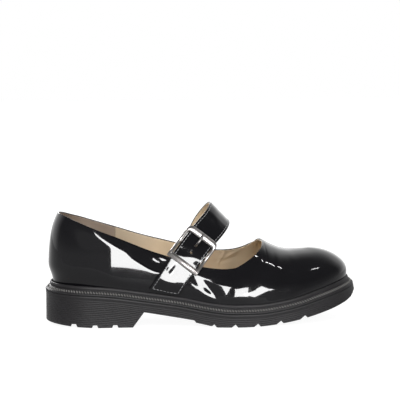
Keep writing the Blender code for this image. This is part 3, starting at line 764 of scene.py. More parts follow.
def apply_modifiers(obj, sharp):
    """Makes what the modifiers show the object's own mesh."""
    depsgraph = bpy.context.evaluated_depsgraph_get()
    mesh = bpy.data.meshes.new_from_object(obj.evaluated_get(depsgraph))
    obj.modifiers.clear()
    obj.data = mesh
    smooth(mesh, sharp)


def cut(obj, tools, sharp):
    """Takes the tools' shapes out of an object."""
    for tool in tools:
        modifier = obj.modifiers.new("cut", "BOOLEAN")
        modifier.operation = "DIFFERENCE"
        modifier.solver = "EXACT"
        modifier.object = tool
    apply_modifiers(obj, sharp)
    for tool in tools:
        bpy.data.objects.remove(tool)


def prism(bm, profile, low, high):
    """A closed prism across the shoe, from the profile's (x, z) pairs."""
    solid(bm, [[Vector((x, at, z)) for x, z in profile] for at in (low, high)])


def placement(x, y, z, spot):
    """The matrix that lays three axes along these directions, with their origin at a spot."""
    matrix = Matrix((x, y, z)).transposed().to_4x4()
    matrix.translation = spot
    return matrix


def capsules(bm, places, length, width, height):
    """A small bar with soft edges at each place: (middle, direction along, direction out)."""
    for spot, along, out in places:
        made = bmesh.ops.create_cube(bm, size=1.0)["verts"]
        edges = list({edge for vert in made for edge in vert.link_edges})
        made = bmesh.ops.bevel(bm, geom=edges, offset=0.3, affect="EDGES", segments=1, profile=0.5,
                               material=-1)["verts"]
        bmesh.ops.scale(bm, vec=(length, width, height), verts=made)
        across = out.cross(along).normalized()
        place = placement(along.normalized(), across, along.cross(across).normalized(), spot)
        bmesh.ops.transform(bm, matrix=place, verts=made)


def oval(wide, deep, sides):
    """Half width and half thickness to a ring of pairs."""
    angles = [2 * math.pi * k / sides for k in range(sides)]
    return [(math.cos(t) * wide, math.sin(t) * deep) for t in angles]


def spaced(path, pitch):
    """Points a pitch apart along a polyline, each with its direction."""
    spots = []
    left = pitch / 2
    for a, b in zip(path, path[1:]):
        step = b - a
        length = step.length
        if length < 1e-9:
            continue
        while left <= length:
            spots.append((a + step * (left / length), step / length))
            left += pitch
        left -= length
    return spots


def place_piece(obj, slot, *nodes):
    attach(obj, "root")
    if nodes:
        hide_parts(*nodes)


# ---------------------------------------------------------------- materials
# Which of the Mix node's sockets belong to colours.
MIX_MASK, MIX_FIRST, MIX_SECOND = 0, 6, 7
MIX_RESULT = 2


class Value:
    """A number that a node gives, for use in sums."""

    def __init__(self, nodes, socket):
        self.nodes, self.socket = nodes, socket

    def __add__(self, other):
        return self.nodes.math("ADD", self, other)

    def __sub__(self, other):
        return self.nodes.math("SUBTRACT", self, other)

    def __rsub__(self, other):
        return self.nodes.math("SUBTRACT", other, self)

    def __mul__(self, other):
        return self.nodes.math("MULTIPLY", self, other)

    __radd__ = __add__
    __rmul__ = __mul__


class Nodes:
    """A node tree, with Python expressions for its sums."""

    def __init__(self, tree):
        self.tree = tree
        self.coordinates = self.node("ShaderNodeTexCoord")
        self.place = self.coordinates.outputs["Object"]

    def put(self, socket, value):
        if isinstance(value, Value):
            value = value.socket
        if isinstance(value, bpy.types.NodeSocket):
            self.tree.links.new(value, socket)
        else:
            socket.default_value = value

    def node(self, kind, values=None, stops=None, **settings):
        """A node of a kind with its settings, the values or links of its sockets, and a ramp's stops."""
        made = self.tree.nodes.new(kind)
        for key, value in settings.items():
            setattr(made, key, value)
        if stops:
            ramp = made.color_ramp.elements
            while len(ramp) < len(stops):
                ramp.new(1.0)
            for element, (position, shade) in zip(ramp, stops):
                element.position = position
                element.color = (shade, shade, shade, 1.0)
        for key, value in (values or {}).items():
            self.put(made.inputs[key], value)
        return made

    def math(self, operation, *values):
        made = self.node("ShaderNodeMath", dict(enumerate(values)), operation=operation)
        return Value(self, made.outputs[0])

    def noise(self, scale, detail=2.0, stretch=(1.0, 1.0, 1.0), roughness=0.5):
        """Soft noise, scale in lumps per metre."""
        spot = self.node("ShaderNodeMapping", {"Vector": self.place, "Scale": stretch}).outputs[0]
        made = self.node("ShaderNodeTexNoise",
                         {"Vector": spot, "Scale": scale, "Detail": detail, "Roughness": roughness})
        return Value(self, made.outputs[0])

    def ramp(self, value, *stops):
        return Value(self, self.node("ShaderNodeValToRGB", {"Fac": value}, stops=stops).outputs[0])

    def axis(self, name, vector=None):
        made = self.node("ShaderNodeSeparateXYZ", {"Vector": vector or self.place})
        return Value(self, made.outputs[name])

    def shade(self, mask, first, second):
        """A colour that goes from the first to the second with the mask."""
        values = {MIX_MASK: mask, MIX_FIRST: self.rgba(first), MIX_SECOND: self.rgba(second)}
        return self.node("ShaderNodeMix", values, data_type="RGBA").outputs[MIX_RESULT]

    @staticmethod
    def rgba(colour):
        return colour if isinstance(colour, bpy.types.NodeSocket) else (*colour, 1.0)


class Finish(Nodes):
    """A material on the Principled shader, with what varies over the surface added as nodes."""

    def __init__(self, name, colour, roughness, **sockets):
        self.material = bpy.data.materials.new(name)
        self.material.use_nodes = True
        super().__init__(self.material.node_tree)
        self.shader = self.tree.nodes["Principled BSDF"]
        self.set(base_color=self.rgba(colour), roughness=roughness, **sockets)

    def set(self, **sockets):
        """Sets or links the shader's sockets, such as coat_ior for its Coat IOR."""
        for name, value in sockets.items():
            self.put(self.shader.inputs[name.replace("_", " ").title().replace("Ior", "IOR")], value)

    def bump(self, height, distance):
        """Relief, distance in millimetres."""
        made = self.node("ShaderNodeBump", {"Height": height, "Distance": distance * MM, "Strength": 1.0})
        self.set(normal=made.outputs[0])


def tinted(colour, factor):
    return tuple(part * factor for part in colour)


def patent_finish(colour):
    finish = Finish("patent_leather", colour, roughness=0.06, specular_ior_level=0.06,
                    coat_weight=1.0, coat_roughness=0.025, coat_ior=1.38)
    smears = finish.noise(35.0, detail=3.0)
    finish.set(roughness=smears * 0.16 + 0.02)
    finish.set(base_color=finish.shade(smears, tinted(colour, 0.8), tinted(colour, 1.3)))
    finish.bump(finish.noise(260.0) + finish.noise(1100.0) * 0.12, distance=0.02)
    return finish.material


def rubber_finish(name, colour):
    finish = Finish(name, colour, roughness=0.6, specular_ior_level=0.3)
    clouds = finish.noise(30.0, detail=4.0)
    grain = finish.noise(2200.0, detail=3.0)
    dust = finish.ramp(finish.noise(90.0, detail=6.0, roughness=0.65), (0.52, 0.0), (0.75, 1.0))
    low = 1.0 - finish.ramp(finish.axis("Z") * 60.0, (0.0, 0.0), (0.7, 1.0))
    base = finish.shade(clouds, tinted(colour, 0.85), tinted(colour, 1.2))
    # Lighter towards the bottom: more dust there, and an even lightening near the floor.
    finish.set(base_color=finish.shade(dust * (low * 0.35 + 0.12) + low * 0.2, base, tinted(colour, 3.0)))
    finish.set(roughness=clouds * 0.16 + dust * 0.08 + 0.46)
    finish.bump(grain + clouds * 0.5, distance=0.05)
    return finish.material


def lining_finish(colour, heel_colour, joint):
    """Beige lining leather, with a darker piece behind the joint at the heel; painted shade darkens that
    piece towards the heel's back, and a painted lighter band lies over the middle of the front piece, with
    painted shade towards the joint and the toe.
    """
    finish = Finish("lining_leather", colour, roughness=0.62)
    mottle = finish.noise(45.0, detail=4.0)
    pores = finish.noise(1500.0)
    folds = finish.noise(90.0, stretch=(1.0, 1.0, 2.4))
    across = finish.axis("X") - joint
    behind = finish.ramp(across * -700.0 + 0.5, (0.0, 0.0), (1.0, 1.0))
    seam = 1.0 - finish.ramp(finish.math("ABSOLUTE", across) * 900.0, (0.0, 0.0), (1.0, 1.0))
    # Painted light: the front piece is lighter over its middle, and painted shade darkens it towards the
    # joint and the toe.
    painted_light_band = finish.ramp(across * 8.0, (0.05, 0.0), (0.3, 1.0), (0.74, 1.0), (0.86, 0.0))
    front = finish.shade(mottle * 0.45 + painted_light_band * 0.55, tinted(colour, 0.66), tinted(colour, 1.1))
    # Painted shade: the heel piece darkens towards the heel's back.
    painted_heel_shade = finish.ramp(across * -18.0, (0.0, 1.0), (0.9, 0.4))
    back = finish.shade(mottle * 0.4 + painted_heel_shade * 0.6, tinted(heel_colour, 0.5), tinted(heel_colour, 1.3))
    plain = finish.shade(behind, front, back)
    finish.set(base_color=finish.shade(seam * 0.45, plain, tinted(heel_colour, 0.55)))
    finish.set(roughness=mottle * 0.2 + 0.5)
    finish.bump(pores * 0.18 + folds + mottle * 0.6 - seam * 0.9, distance=0.28)
    return finish.material


def metal_finish(colour):
    finish = Finish("polished_metal", colour, roughness=0.25, metallic=1.0)
    wear = finish.noise(160.0, detail=5.0)
    scratches = finish.noise(700.0, stretch=(0.2, 1.0, 1.0))
    finish.set(roughness=wear * 0.14 + 0.24)
    finish.set(base_color=finish.shade(wear, tinted(colour, 0.85), tinted(colour, 1.05)))
    finish.bump(scratches, distance=0.01)
    return finish.material


def thread_finish(colour):
    # The grey colour is a painted sheen for the glints on black thread.
    finish = Finish("waxed_thread", colour, roughness=0.35)
    strands = finish.noise(1600.0, stretch=(1.0, 1.0, 3.0))
    finish.set(base_color=finish.shade(strands, tinted(colour, 0.6), tinted(colour, 1.8)))
    finish.bump(strands, distance=0.05)
    return finish.material


FINISHES = {}


def finish_for(context, name):
    """The material of that name, made once."""
    colours = context.scene.shoe_colours
    makers = {
        "patent": lambda: patent_finish(colours.patent),
        "rubber": lambda: rubber_finish("moulded_rubber", colours.rubber),
        # The ticks' pale colour is a painted highlight on them.
        "ticks": lambda: rubber_finish("tick_rubber_painted_highlight", colours.tick),
        "lining": lambda: lining_finish(colours.lining, colours.heel_grip, LINING_JOINT * MM),
        "metal": lambda: metal_finish(colours.metal),
        "thread": lambda: thread_finish(colours.thread),
    }
    if name not in FINISHES:
        FINISHES[name] = makers[name]()
    return FINISHES[name]


# ---------------------------------------------------------------- sole
def underside_height(x):
    """The tread's own height at x, with no notches."""
    if x < HEEL_BEVEL[-1][0]:
        for (x0, z0), (x1, z1) in zip(HEEL_BEVEL, HEEL_BEVEL[1:]):
            if x <= x1:
                return z0 + (z1 - z0) * (x - x0) / (x1 - x0)
    if x > TREAD_FLAT[1]:
        return (x - TREAD_FLAT[1]) ** 2 / (2 * TOE_SPRING_RADIUS)
    return 0.0


def underside_profile():
    """The underside from heel to toe, as one line in X and Z."""
    points = list(HEEL_BEVEL)
    points += [(HEEL_FRONT, 0.0), BREAST_TOP, ARCH_END, TREAD_START, (TREAD_FLAT[0], 0.0)]
    points += [(x, underside_height(x)) for x in evenly(TREAD_FLAT[1], TOE_CORNER[0][0], 16)[:-1]]
    return points + list(TOE_CORNER)


def ground_cutter():
    """All that lies under the underside's line."""
    bm = bmesh.new()
    prism(bm, underside_profile() + list(GROUND_BLOCK), -GROUND_HALF, GROUND_HALF)
    return cutter(bm)


def notch_cutter():
    """The side notches between the lugs, on both edges of heel and tread."""
    bm = bmesh.new()
    for section, places in zip(NOTCH[1:], (HEEL_NOTCHES, TREAD_NOTCHES)):
        depth, rear_foot, rear_top, front_top, front_foot = section
        for x in places:
            z = underside_height(x)
            spread = NOTCH_BELOW / depth
            profile = [
                (x + rear_top, z + depth),
                (x + front_top, z + depth),
                (x + front_foot + (front_foot - front_top) * spread, z - NOTCH_BELOW),
                (x + rear_foot - (rear_top - rear_foot) * spread, z - NOTCH_BELOW),
            ]
            for side in (-1, 1):
                edge = middle(x) + side * half_width(x, side)
                low, high = sorted((edge - side * NOTCH_REACH, edge + side * CUT_PAST))
                prism(bm, profile, low, high)
    return cutter(bm)


def groove(bm, stations):
    """A closed cutter through stations of (x, y of one edge, y of the other)."""
    rows = []
    for x, y0, y1 in stations:
        top = underside_height(x) + CHANNEL_DEPTH
        corners = ((y0, GROOVE_FOOT), (y1, GROOVE_FOOT), (y1, top), (y0, top))
        rows.append([Vector((x, y, z)) for y, z in corners])
    solid(bm, rows)


def channel_cutter():
    bm = bmesh.new()
    for start, end in (HEEL_CHANNEL, TREAD_CHANNEL):
        for side in (-1, 1):
            stations = []
            for x in evenly(start, end, 20):
                outer = middle(x) + side * half_width(x, side, CHANNEL_INSET)
                stations.append((x, outer, outer - side * CHANNEL_WIDTH))
            groove(bm, stations)
    return cutter(bm)


def cross_cutter():
    bm = bmesh.new()
    for x in HEEL_CROSSES + TREAD_CROSSES:
        reach = []
        for side in (-1, 1):
            reach.append(middle(x) + side * (half_width(x, side, CHANNEL_INSET) - CHANNEL_WIDTH / 2))
        groove(bm, [(x - CHANNEL_WIDTH / 2, *reach), (x + CHANNEL_WIDTH / 2, *reach)])
    return cutter(bm)


class SHOE_OT_outsole(bpy.types.Operator):
    """Outsole and heel with a ribbed side, notches, channels and lugs"""
    bl_idname = "shoe.outsole"
    bl_label = "Outsole"

    def execute(self, context):
        sizes = context.scene.shoe_sizes
        pitch, depth = sizes.rib_pitch / MM, sizes.rib_depth / MM
        rows = [sole_row(*row, sizes.ring) for row in SIDE_TOP[1:]]
        down = SIDE_TOP[-1][0]
        while down < SIDE_FOOT:
            down += pitch / 2
            inset = RIB_INSET + (depth if len(rows) % 2 else 0.0)
            rows.append(sole_row(down, inset, sizes.ring))
        bm = bmesh.new()
        ruled_solid(bm, rows)
        sole = finish_mesh("outsole_ribbed", bm, finish_for(context, "rubber"))
        cut(sole, [ground_cutter(), notch_cutter(), channel_cutter(), cross_cutter()], sharp=32.0)
        place_piece(sole, "sole_rubber", "outsole")
        return {"FINISHED"}


class SHOE_OT_welt(bpy.types.Operator):
    """Moulded welt with a bead, a gutter and a sloping ledge"""
    bl_idname = "shoe.welt"
    bl_label = "Welt"

    def execute(self, context):
        sizes = context.scene.shoe_sizes
        bm = bmesh.new()
        rows = [sole_row(*row, sizes.ring) for row in WELT_SECTION[1:]]
        loft(bm, rows + rows[:1])
        welt = finish_mesh("welt_moulded", bm, finish_for(context, "rubber"), sharp=60.0)
        place_piece(welt, "sole_rubber", "welt")
        return {"FINISHED"}


class SHOE_OT_ticks(bpy.types.Operator):
    """Row of slanted raised ticks on the welt's ledge"""
    bl_idname = "shoe.ticks"
    bl_label = "Ledge ticks"

    def execute(self, context):
        sizes = context.scene.shoe_sizes
        path = sole_row(*LEDGE_MIDDLE, sizes.ring)
        path.append(path[0])
        bm = bmesh.new()
        places = []
        slope = math.radians(LEDGE_SLOPE)
        for spot, along in spaced(path, sizes.tick_pitch / MM):
            out = Vector((along.y, -along.x, 0.0)).normalized()
            fall = out * math.cos(slope) - UP * math.sin(slope)
            face = out * math.sin(slope) + UP * math.cos(slope)
            slant = (fall + along * TICK_SLANT).normalized()
            places.append((spot, slant, face))
        capsules(bm, places, *TICK_SIZE)
        ticks = finish_mesh("ledge_ticks", bm, finish_for(context, "ticks"))
        place_piece(ticks, "sole_rubber")
        return {"FINISHED"}


class SHOE_OT_insole(bpy.types.Operator):
    """Insole, crowned a little under the foot"""
    bl_idname = "shoe.insole"
    bl_label = "Insole"

    def execute(self, context):
        ring = context.scene.shoe_sizes.ring
        top = SOLE_TOP - GAP - INSOLE_THICK
        inset = UPPER_INSET + WALL + GAP
        section = [(SOLE_TOP - GAP, 0.0)] + [(top + down, reach) for down, reach in INSOLE_CROWN[1:]]
        bm = bmesh.new()
        ruled_solid(bm, [sole_row(down, inset + reach, ring) for down, reach in section])
        insole = finish_mesh("insole_leather", bm, finish_for(context, "lining"))
        place_piece(insole, "lining_leather", "insole")
        return {"FINISHED"}


# ---------------------------------------------------------------- upper
def section_turns(ring, close):
    """Turns round the shoe, closer together between two stations."""
    turns = []
    for i in range(ring):
        x, _ = outline((i + 0.5) / ring, UPPER_INSET)
        steps = CLOSER if close[0] < x < close[1] else 1
        turns += [(i + k / steps) / ring for k in range(steps)]
    return turns


def shell(ring, depth, drop, rise_steps, dents, close):
    """The upper's surface at a depth under its skin, from the sole's top to the topline."""
    sections = [Section(turn, depth) for turn in section_turns(ring, close)]
    tops = [section.topline_rise(drop) for section in sections]
    rows = []
    foot = [Vector((section.x, section.y, section.z - SOLE_TOP + GAP)) for section in sections]
    for share in (0.0, 0.5):
        rows.append([blend(low, section.point(0.0), share) for low, section in zip(foot, sections)])
    for step in range(rise_steps + 1):
        rows.append([section.point(top * step / rise_steps) for section, top in zip(sections, tops)])
    bm = bmesh.new()
    loft(bm, rows)
    bmesh.ops.remove_doubles(bm, verts=bm.verts[:], dist=0.002)
    bmesh.ops.recalc_face_normals(bm, faces=bm.faces[:])
    inner = [vert for vert in bm.verts if not vert.is_boundary]
    for _ in range(3):
        bmesh.ops.smooth_vert(
            bm, verts=inner, factor=0.5, use_axis_x=True, use_axis_y=True, use_axis_z=True)
    bm.normal_update()
    for vert in bm.verts:
        vert.co += vert.normal * (lean_at(vert.co) + dent_at(dents, vert.co))
    return bm


class SHOE_OT_upper(bpy.types.Operator):
    """Vamp and quarters of patent leather, with a rounded topline"""
    bl_idname = "shoe.upper"
    bl_label = "Vamp and quarters"

    def execute(self, context):
        sizes = context.scene.shoe_sizes
        bm = shell(sizes.ring, depth=0.0, drop=0.0, rise_steps=44, dents=DENTS, close=THROAT)
        upper = finish_mesh("vamp_and_quarters", bm, finish_for(context, "patent"), sharp=70.0)
        wall(upper, sizes.leather / MM, sizes.edge / MM)
        place_piece(upper, "patent_leather", "upper")
        return {"FINISHED"}


class SHOE_OT_lining(bpy.types.Operator):
    """Lining leather inside the vamp and quarters"""
    bl_idname = "shoe.lining"
    bl_label = "Lining"

    def execute(self, context):
        sizes = context.scene.shoe_sizes
        depth = sizes.leather / MM + LINING_GAP
        drop = sizes.lining_drop / MM
        bm = shell(sizes.ring, depth, drop, rise_steps=40, dents=LINING_WRINKLES, close=LINING_CLOSE)
        lining = finish_mesh("lining", bm, finish_for(context, "lining"), sharp=70.0)
        wall(lining, thick=WALL - depth, edge=0.2)
        place_piece(lining, "lining_leather")
        return {"FINISHED"}


# ---------------------------------------------------------------- strap
def route_point(height, across, past=0.0):
    """x and z of a point on the strap's route; past is how far it has come down the inner side."""
    tilt = math.radians(read(STRAP_ROUTE, "tilt", height) - INNER_TILT * ease(past / INNER_BEND))
    x = read(STRAP_ROUTE, "x", height) + INNER_FORWARD * past + across * math.cos(tilt)
    return x, height - across * math.sin(tilt)


CRESTS = {}


def crest(across):
    """The route's height where it crosses the last's ridge."""
    def under_ridge(height):
        x, z = route_point(height, across)
        return z < read(LAST, "ridge", x)

    key = round(across, 4)
    if key not in CRESTS:
        CRESTS[key] = halve(*CREST_BETWEEN, under_ridge, 30)
    return CRESTS[key]


def foot_height(side, across):
    return LAP_HEIGHT if side > 0 else TAIL_HEIGHT + TAIL_CUT * across


def strap_height(turn, across):
    """turn runs from -1 at the free end over 0 at the crest to 1 at the sewn end."""
    side = 1 if turn > 0 else -1
    foot = foot_height(side, across)
    return foot + (crest(across) - foot) * math.cos(abs(turn) * math.pi / 2)


def turn_at(height):
    """The turn where the strap's middle line passes a height on the buckle's side."""
    foot = foot_height(-1, 0.0)
    return -math.acos((height - foot) / (crest(0.0) - foot)) * 2 / math.pi


def on_last(turn, across):
    height = strap_height(turn, across)
    x, z = route_point(height, across, crest(across) - height if turn > 0 else 0.0)
    return Vector((x, wall_y(x, z, 1 if turn > 0 else -1), z))


def strap_normal(turn, across):
    step = 0.01
    along = on_last(min(turn + step, 1.0), across) - on_last(max(turn - step, -1.0), across)
    over = on_last(turn, across + 1.0) - on_last(turn, across - 1.0)
    return over.cross(along).normalized()


def strap_tilt(turn, across):
    """The strap under and below the buckle stands a little higher at its back edge."""
    height = strap_height(turn, across)
    share = ease_between(height, *TILT_IN) * ease_between(height, *TILT_OUT)
    return -STRAP_TILT * across * share if turn < 0 else 0.0


def strap_point(turn, across, lift):
    return on_last(turn, across) + strap_normal(turn, across) * (lift + strap_tilt(turn, across))


def strap_lift(turn):
    if turn > 0:
        return INNER_LIFT
    return read(STRAP_LIFT, "lift", strap_height(turn, 0.0))


def band_section(width, low, high, crown, edge):
    """Points (across, lift) round a flat band's section with round edges and a crowned top."""
    half = width / 2
    top, bottom = [], []
    for across in evenly(edge - half, half - edge, 14):
        top.append((across, high + crown * (1 - (across / half) ** 2)))
        bottom.append((across, low))
    corner = []
    for i in range(1, 4):
        angle = math.radians(90 - 90 * i / 4)
        corner.append((half - edge + edge * math.cos(angle), high - edge + edge * math.sin(angle)))
    corner.append((half, high - edge))
    corner.append((half, low + BAND_CHAMFER))
    mirrored = [(-across, lift) for across, lift in reversed(corner)]
    return top + corner + list(reversed(bottom)) + mirrored


def band(turns, section, relief=None):
    """A band along the strap's route, with a relief in its outer skin."""
    rows = []
    for turn in turns:
        base = strap_lift(turn)
        row = []
        for across, lift in section:
            extra = relief(turn, across) if relief and lift > SKIN_FOOT else 0.0
            row.append(strap_point(turn, across, base + lift + extra))
        rows.append(row)
    bm = bmesh.new()
    solid(bm, rows)
    return bm


def drill(height, under):
    """A stepped cutter for a pin hole, square to the strap, with its own width under the skin."""
    turn = turn_at(height)
    base = strap_point(turn, 0.0, strap_lift(turn))
    turned = strap_normal(turn, 0.0).to_track_quat("Z", "Y").to_matrix()
    rows = []
    for width, low, high in ((under, -CUT_PAST, SKIN_FOOT), (HOLE_DIAMETER, SKIN_FOOT, CUT_PAST)):
        for z in (low, high):
            rows.append([base + turned @ Vector((a, b, z)) for a, b in oval(width / 2, width / 2, 32)])
    bm = bmesh.new()
    solid(bm, rows)
    return cutter(bm)


def strap_relief(turn, across):
    """The strap's skin as wear has left it: pressed down round its holes and creased where it bends."""
    height = strap_height(turn, across)
    total = 0.0
    if turn < 0:
        for hole in PIN_HOLES:
            away = math.hypot(across, height - hole)
            total -= HOLE_PRESS * fade(away - HOLE_DIAMETER / 2, HOLE_PRESS_REACH)
        past = height - STRAP_BEND
        total += CREASE_RISE * fade(past, CREASE_REACH) - BEND_FALL * max(past, 0.0) * ease(past / BEND_RUN)
        up, over, wide, long, rise = FOLD
        fold = (across - over) / wide
        total += rise * fold * fade(fold, 1.0) * fade(height - up, long)
        for up, over, slant, wide, long, rise in STRAP_DENTS[1:]:
            total += rise * fade(across - over, wide) * fade(height - up - slant * across, long)
    return total


class SHOE_OT_strap(bpy.types.Operator):
    """Instep strap of patent leather with its pin holes"""
    bl_idname = "shoe.strap"
    bl_label = "Strap"

    def execute(self, context):
        section = band_section(STRAP_WIDTH, low=0.7, high=STRAP_THICK - 0.15, crown=0.2, edge=0.6)
        bm = band(evenly(-1.0, 1.0, 150), section, strap_relief)
        strap = finish_mesh("strap_patent", bm, finish_for(context, "patent"), sharp=50.0)
        round_edges(strap, width=0.4, angle=60.0)
        cut(strap, [drill(height, PIN_SLOT) for height in PIN_HOLES], sharp=50.0)
        place_piece(strap, "patent_leather", "strap")
        return {"FINISHED"}


class SHOE_OT_strap_backing(bpy.types.Operator):
    """Lining leather under the strap"""
    bl_idname = "shoe.strap_backing"
    bl_label = "Strap backing"

    def execute(self, context):
        section = band_section(STRAP_WIDTH - BACKING_LESS, low=0.0, high=0.66, crown=0.0, edge=0.2)
        bm = band(evenly(-BACKING_END, BACKING_END, 150), section)
        backing = finish_mesh("strap_backing", bm, finish_for(context, "lining"), sharp=50.0)
        cut(backing, [drill(height, HOLE_DIAMETER + BACKING_LESS) for height in PIN_HOLES], sharp=50.0)
        place_piece(backing, "lining_leather")
        return {"FINISHED"}


class SHOE_OT_strap_stitches(bpy.types.Operator):
    """Stitches along the strap's edges and across its free end"""
    bl_idname = "shoe.strap_stitches"
    bl_label = "Strap stitches"

    def execute(self, context):
        pitch = context.scene.shoe_sizes.stitch_pitch / MM
        reach = STRAP_WIDTH / 2 - STITCH_INSET
        bm = bmesh.new()
        turns = evenly(-STITCH_END, STITCH_END, 200)
        lines = [[(turn, side * reach) for turn in turns] for side in (-1, 1)]
        lines.append([(-STITCH_END, across) for across in evenly(-reach, reach, 20)])
        places = []
        for line in lines:
            path = []
            for turn, across in line:
                lift = strap_lift(turn) + STRAP_THICK - STITCH_SINK
                path.append(strap_point(turn, across, lift + strap_relief(turn, across)))
            outs = [strap_normal(turn, across) for turn, across in line]
            for spot, along in spaced(path, pitch):
                near = min(range(len(path)), key=lambda i: (path[i] - spot).length_squared)
                places.append((spot, along, outs[near]))
        capsules(bm, places, pitch * STITCH_SHARE, *STITCH_SIZE)
        stitches = finish_mesh("strap_stitches", bm, finish_for(context, "thread"))
        place_piece(stitches, "patent_leather")
        return {"FINISHED"}


# ---------------------------------------------------------------- buckle
def buckle_place():
    """The buckle's own axes: across the strap, up the strap, and out; its origin is the middle bar."""
    origin = strap_point(turn_at(MIDDLE_BAR), 0.0, MIDDLE_BAR_LIFT)
    bars = [turn_at(height) for height in (LOWER_BAR, UPPER_BAR)]
    ends = [strap_point(turn, 0.0, strap_lift(turn) + STRAP_THICK + BAR_CLEAR + WIRE / 2) for turn in bars]
    up = (ends[1] - ends[0]).normalized()
    across = sum((on_last(turn, RAIL_REACH) - on_last(turn, -RAIL_REACH) for turn in bars), Vector())
    across = (across - up * across.dot(up)).normalized()
    out = across.cross(up).normalized()
    reach = [(end - origin).dot(up) for end in ends]
    height = sum((end - origin).dot(out) for end in ends) / 2
    return placement(across, up, out, origin), reach, height


def tube(bm, path, section, closed=False, square_to=UP):
    """A wire along a path; section gives its ring of pairs at a step and a direction of run."""
    rows = []
    count = len(path)
    for i, point in enumerate(path):
        if closed:
            ahead, behind = path[(i + 1) % count], path[i - 1]
        else:
            ahead, behind = path[min(i + 1, count - 1)], path[max(i - 1, 0)]
        tangent = (ahead - behind).normalized()
        a = square_to.cross(tangent).normalized()
        b = tangent.cross(a)
        rows.append([point + a * wide + b * deep for wide, deep in section(i, tangent)])
    if closed:
        loft(bm, rows + rows[:1])
        return
    solid(bm, rows)


def frame_path(reach, height):
    """The middle line of the rails and the upper bar, bowed down to the middle bar between its ends."""
    low, high = reach
    flat = [Vector((RAIL_REACH, low, 0.0))]
    for side, start in ((1, 0), (-1, 90)):
        for degrees in evenly(start, start + 90, 8):
            angle = math.radians(degrees)
            flat.append(Vector((side * (RAIL_REACH - UPPER_CORNER) + UPPER_CORNER * math.cos(angle),
                                high - UPPER_CORNER + UPPER_CORNER * math.sin(angle), 0.0)))
    flat.append(Vector((-RAIL_REACH, low, 0.0)))
    path = []
    for a, b in zip(flat, flat[1:]):
        parts = max(1, round((b - a).length / WIRE_STEP))
        path += [a.lerp(b, k / parts) for k in range(parts)]
    path.append(flat[-1])
    for point in path:
        along = point.y / (high if point.y > 0 else low)
        bow = 1 - (1 - min(along, 1.0) ** 2) ** 2
        point.z = blend(MIDDLE_BAR_CRANK, height, bow)
    return path


class SHOE_OT_buckle(bpy.types.Operator):
    """Square buckle of polished metal with a middle bar"""
    bl_idname = "shoe.buckle"
    bl_label = "Buckle"

    def execute(self, context):
        place, reach, height = buckle_place()

        def rail_or_bar(_, tangent):
            """The upper bar is broad and flat, the rails are round."""
            flat = ease(abs(tangent.x) * 1.3 - 0.3)
            return oval(*(blend(*sizes, flat) for sizes in zip(RAIL_HALF, UPPER_BAR_HALF)), 24)

        bm = bmesh.new()
        tube(bm, frame_path(reach, height), rail_or_bar)
        end = RAIL_REACH + LOWER_BAR_PAST
        soft = LOWER_BAR_SOFT
        lower_path = [Vector((x, reach[0], height)) for x in (-end, -end + soft, end - soft, end)]

        def lower_bar(i, _):
            return [(a * LOWER_BAR_TAPER[i], b * LOWER_BAR_TAPER[i]) for a, b in LOWER_BAR_RING]

        tube(bm, lower_path, lower_bar)
        bar_path = [Vector((side * x, 0.0, z)) for side in (-1, 1) for x, z in MIDDLE_BAR_END[::side]]
        tube(bm, bar_path, lambda i, t: oval(BAR_WIRE / 2, BAR_WIRE / 2, 16))
        bmesh.ops.transform(bm, matrix=place, verts=bm.verts[:])
        buckle = finish_mesh("buckle_polished", bm, finish_for(context, "metal"))
        place_piece(buckle, "buckle_metal", "buckle_frame")
        return {"FINISHED"}


class SHOE_OT_pin(bpy.types.Operator):
    """Buckle pin, round its eye and flat at its tip"""
    bl_idname = "shoe.pin"
    bl_label = "Buckle pin"

    def execute(self, context):
        place, reach, height = buckle_place()
        eye = BAR_WIRE / 2 + GAP + PIN_EYE_WIRE / 2
        top = height + WIRE / 2 + GAP + PIN_WIRE / 2
        angles = [math.radians(10 * k) for k in range(36)]
        ring = [Vector((0.0, math.cos(a), math.sin(a))) * eye for a in angles]
        bm = bmesh.new()
        eye_wire = oval(PIN_EYE_WIRE / 2, PIN_EYE_WIRE / 2, 12)
        tube(bm, ring, lambda i, t: eye_wire, closed=True, square_to=SIDEWAYS)
        hole = (on_last(turn_at(PIN_HOLES[0]), 0.0) - on_last(turn_at(MIDDLE_BAR), 0.0)).length
        starts = {"eye": (eye, 0.0), "hole": (hole, 0.0), "over_hole": (hole, top), "bar": (reach[1], top)}
        path = []
        for start, along, out, _, _ in PIN_ROUTE[1:]:
            y, z = starts[start]
            path.append(Vector((0.0, y + along, z + out)))
        tube(bm, path, lambda i, t: oval(*PIN_ROUTE[1 + i][3:], 16), square_to=SIDEWAYS)
        bmesh.ops.transform(bm, matrix=place, verts=bm.verts[:])
        pin = finish_mesh("pin_polished", bm, finish_for(context, "metal"))
        place_piece(pin, "buckle_metal", "buckle_pin")
        return {"FINISHED"}


class SHOE_OT_chape(bpy.types.Operator):
    """Finish of the tab that holds the buckle's middle bar"""
    bl_idname = "shoe.chape"
    bl_label = "Chape"

    def execute(self, context):
        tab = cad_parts["chape"]
        tab.data.materials.clear()
        tab.data.materials.append(finish_for(context, "patent"))
        return {"FINISHED"}


# ---------------------------------------------------------------- stage
CAMERA_PLACE = (-0.17835, -1.38955, 0.245)
CAMERA_HEADING = 7.265      # degrees from +Y towards +X
CAMERA_FALL = 5.71          # degrees under the horizon
CAMERA_LENS = 144.9

LIGHT_TARGET = Vector((0.0, 0.0, 0.05))
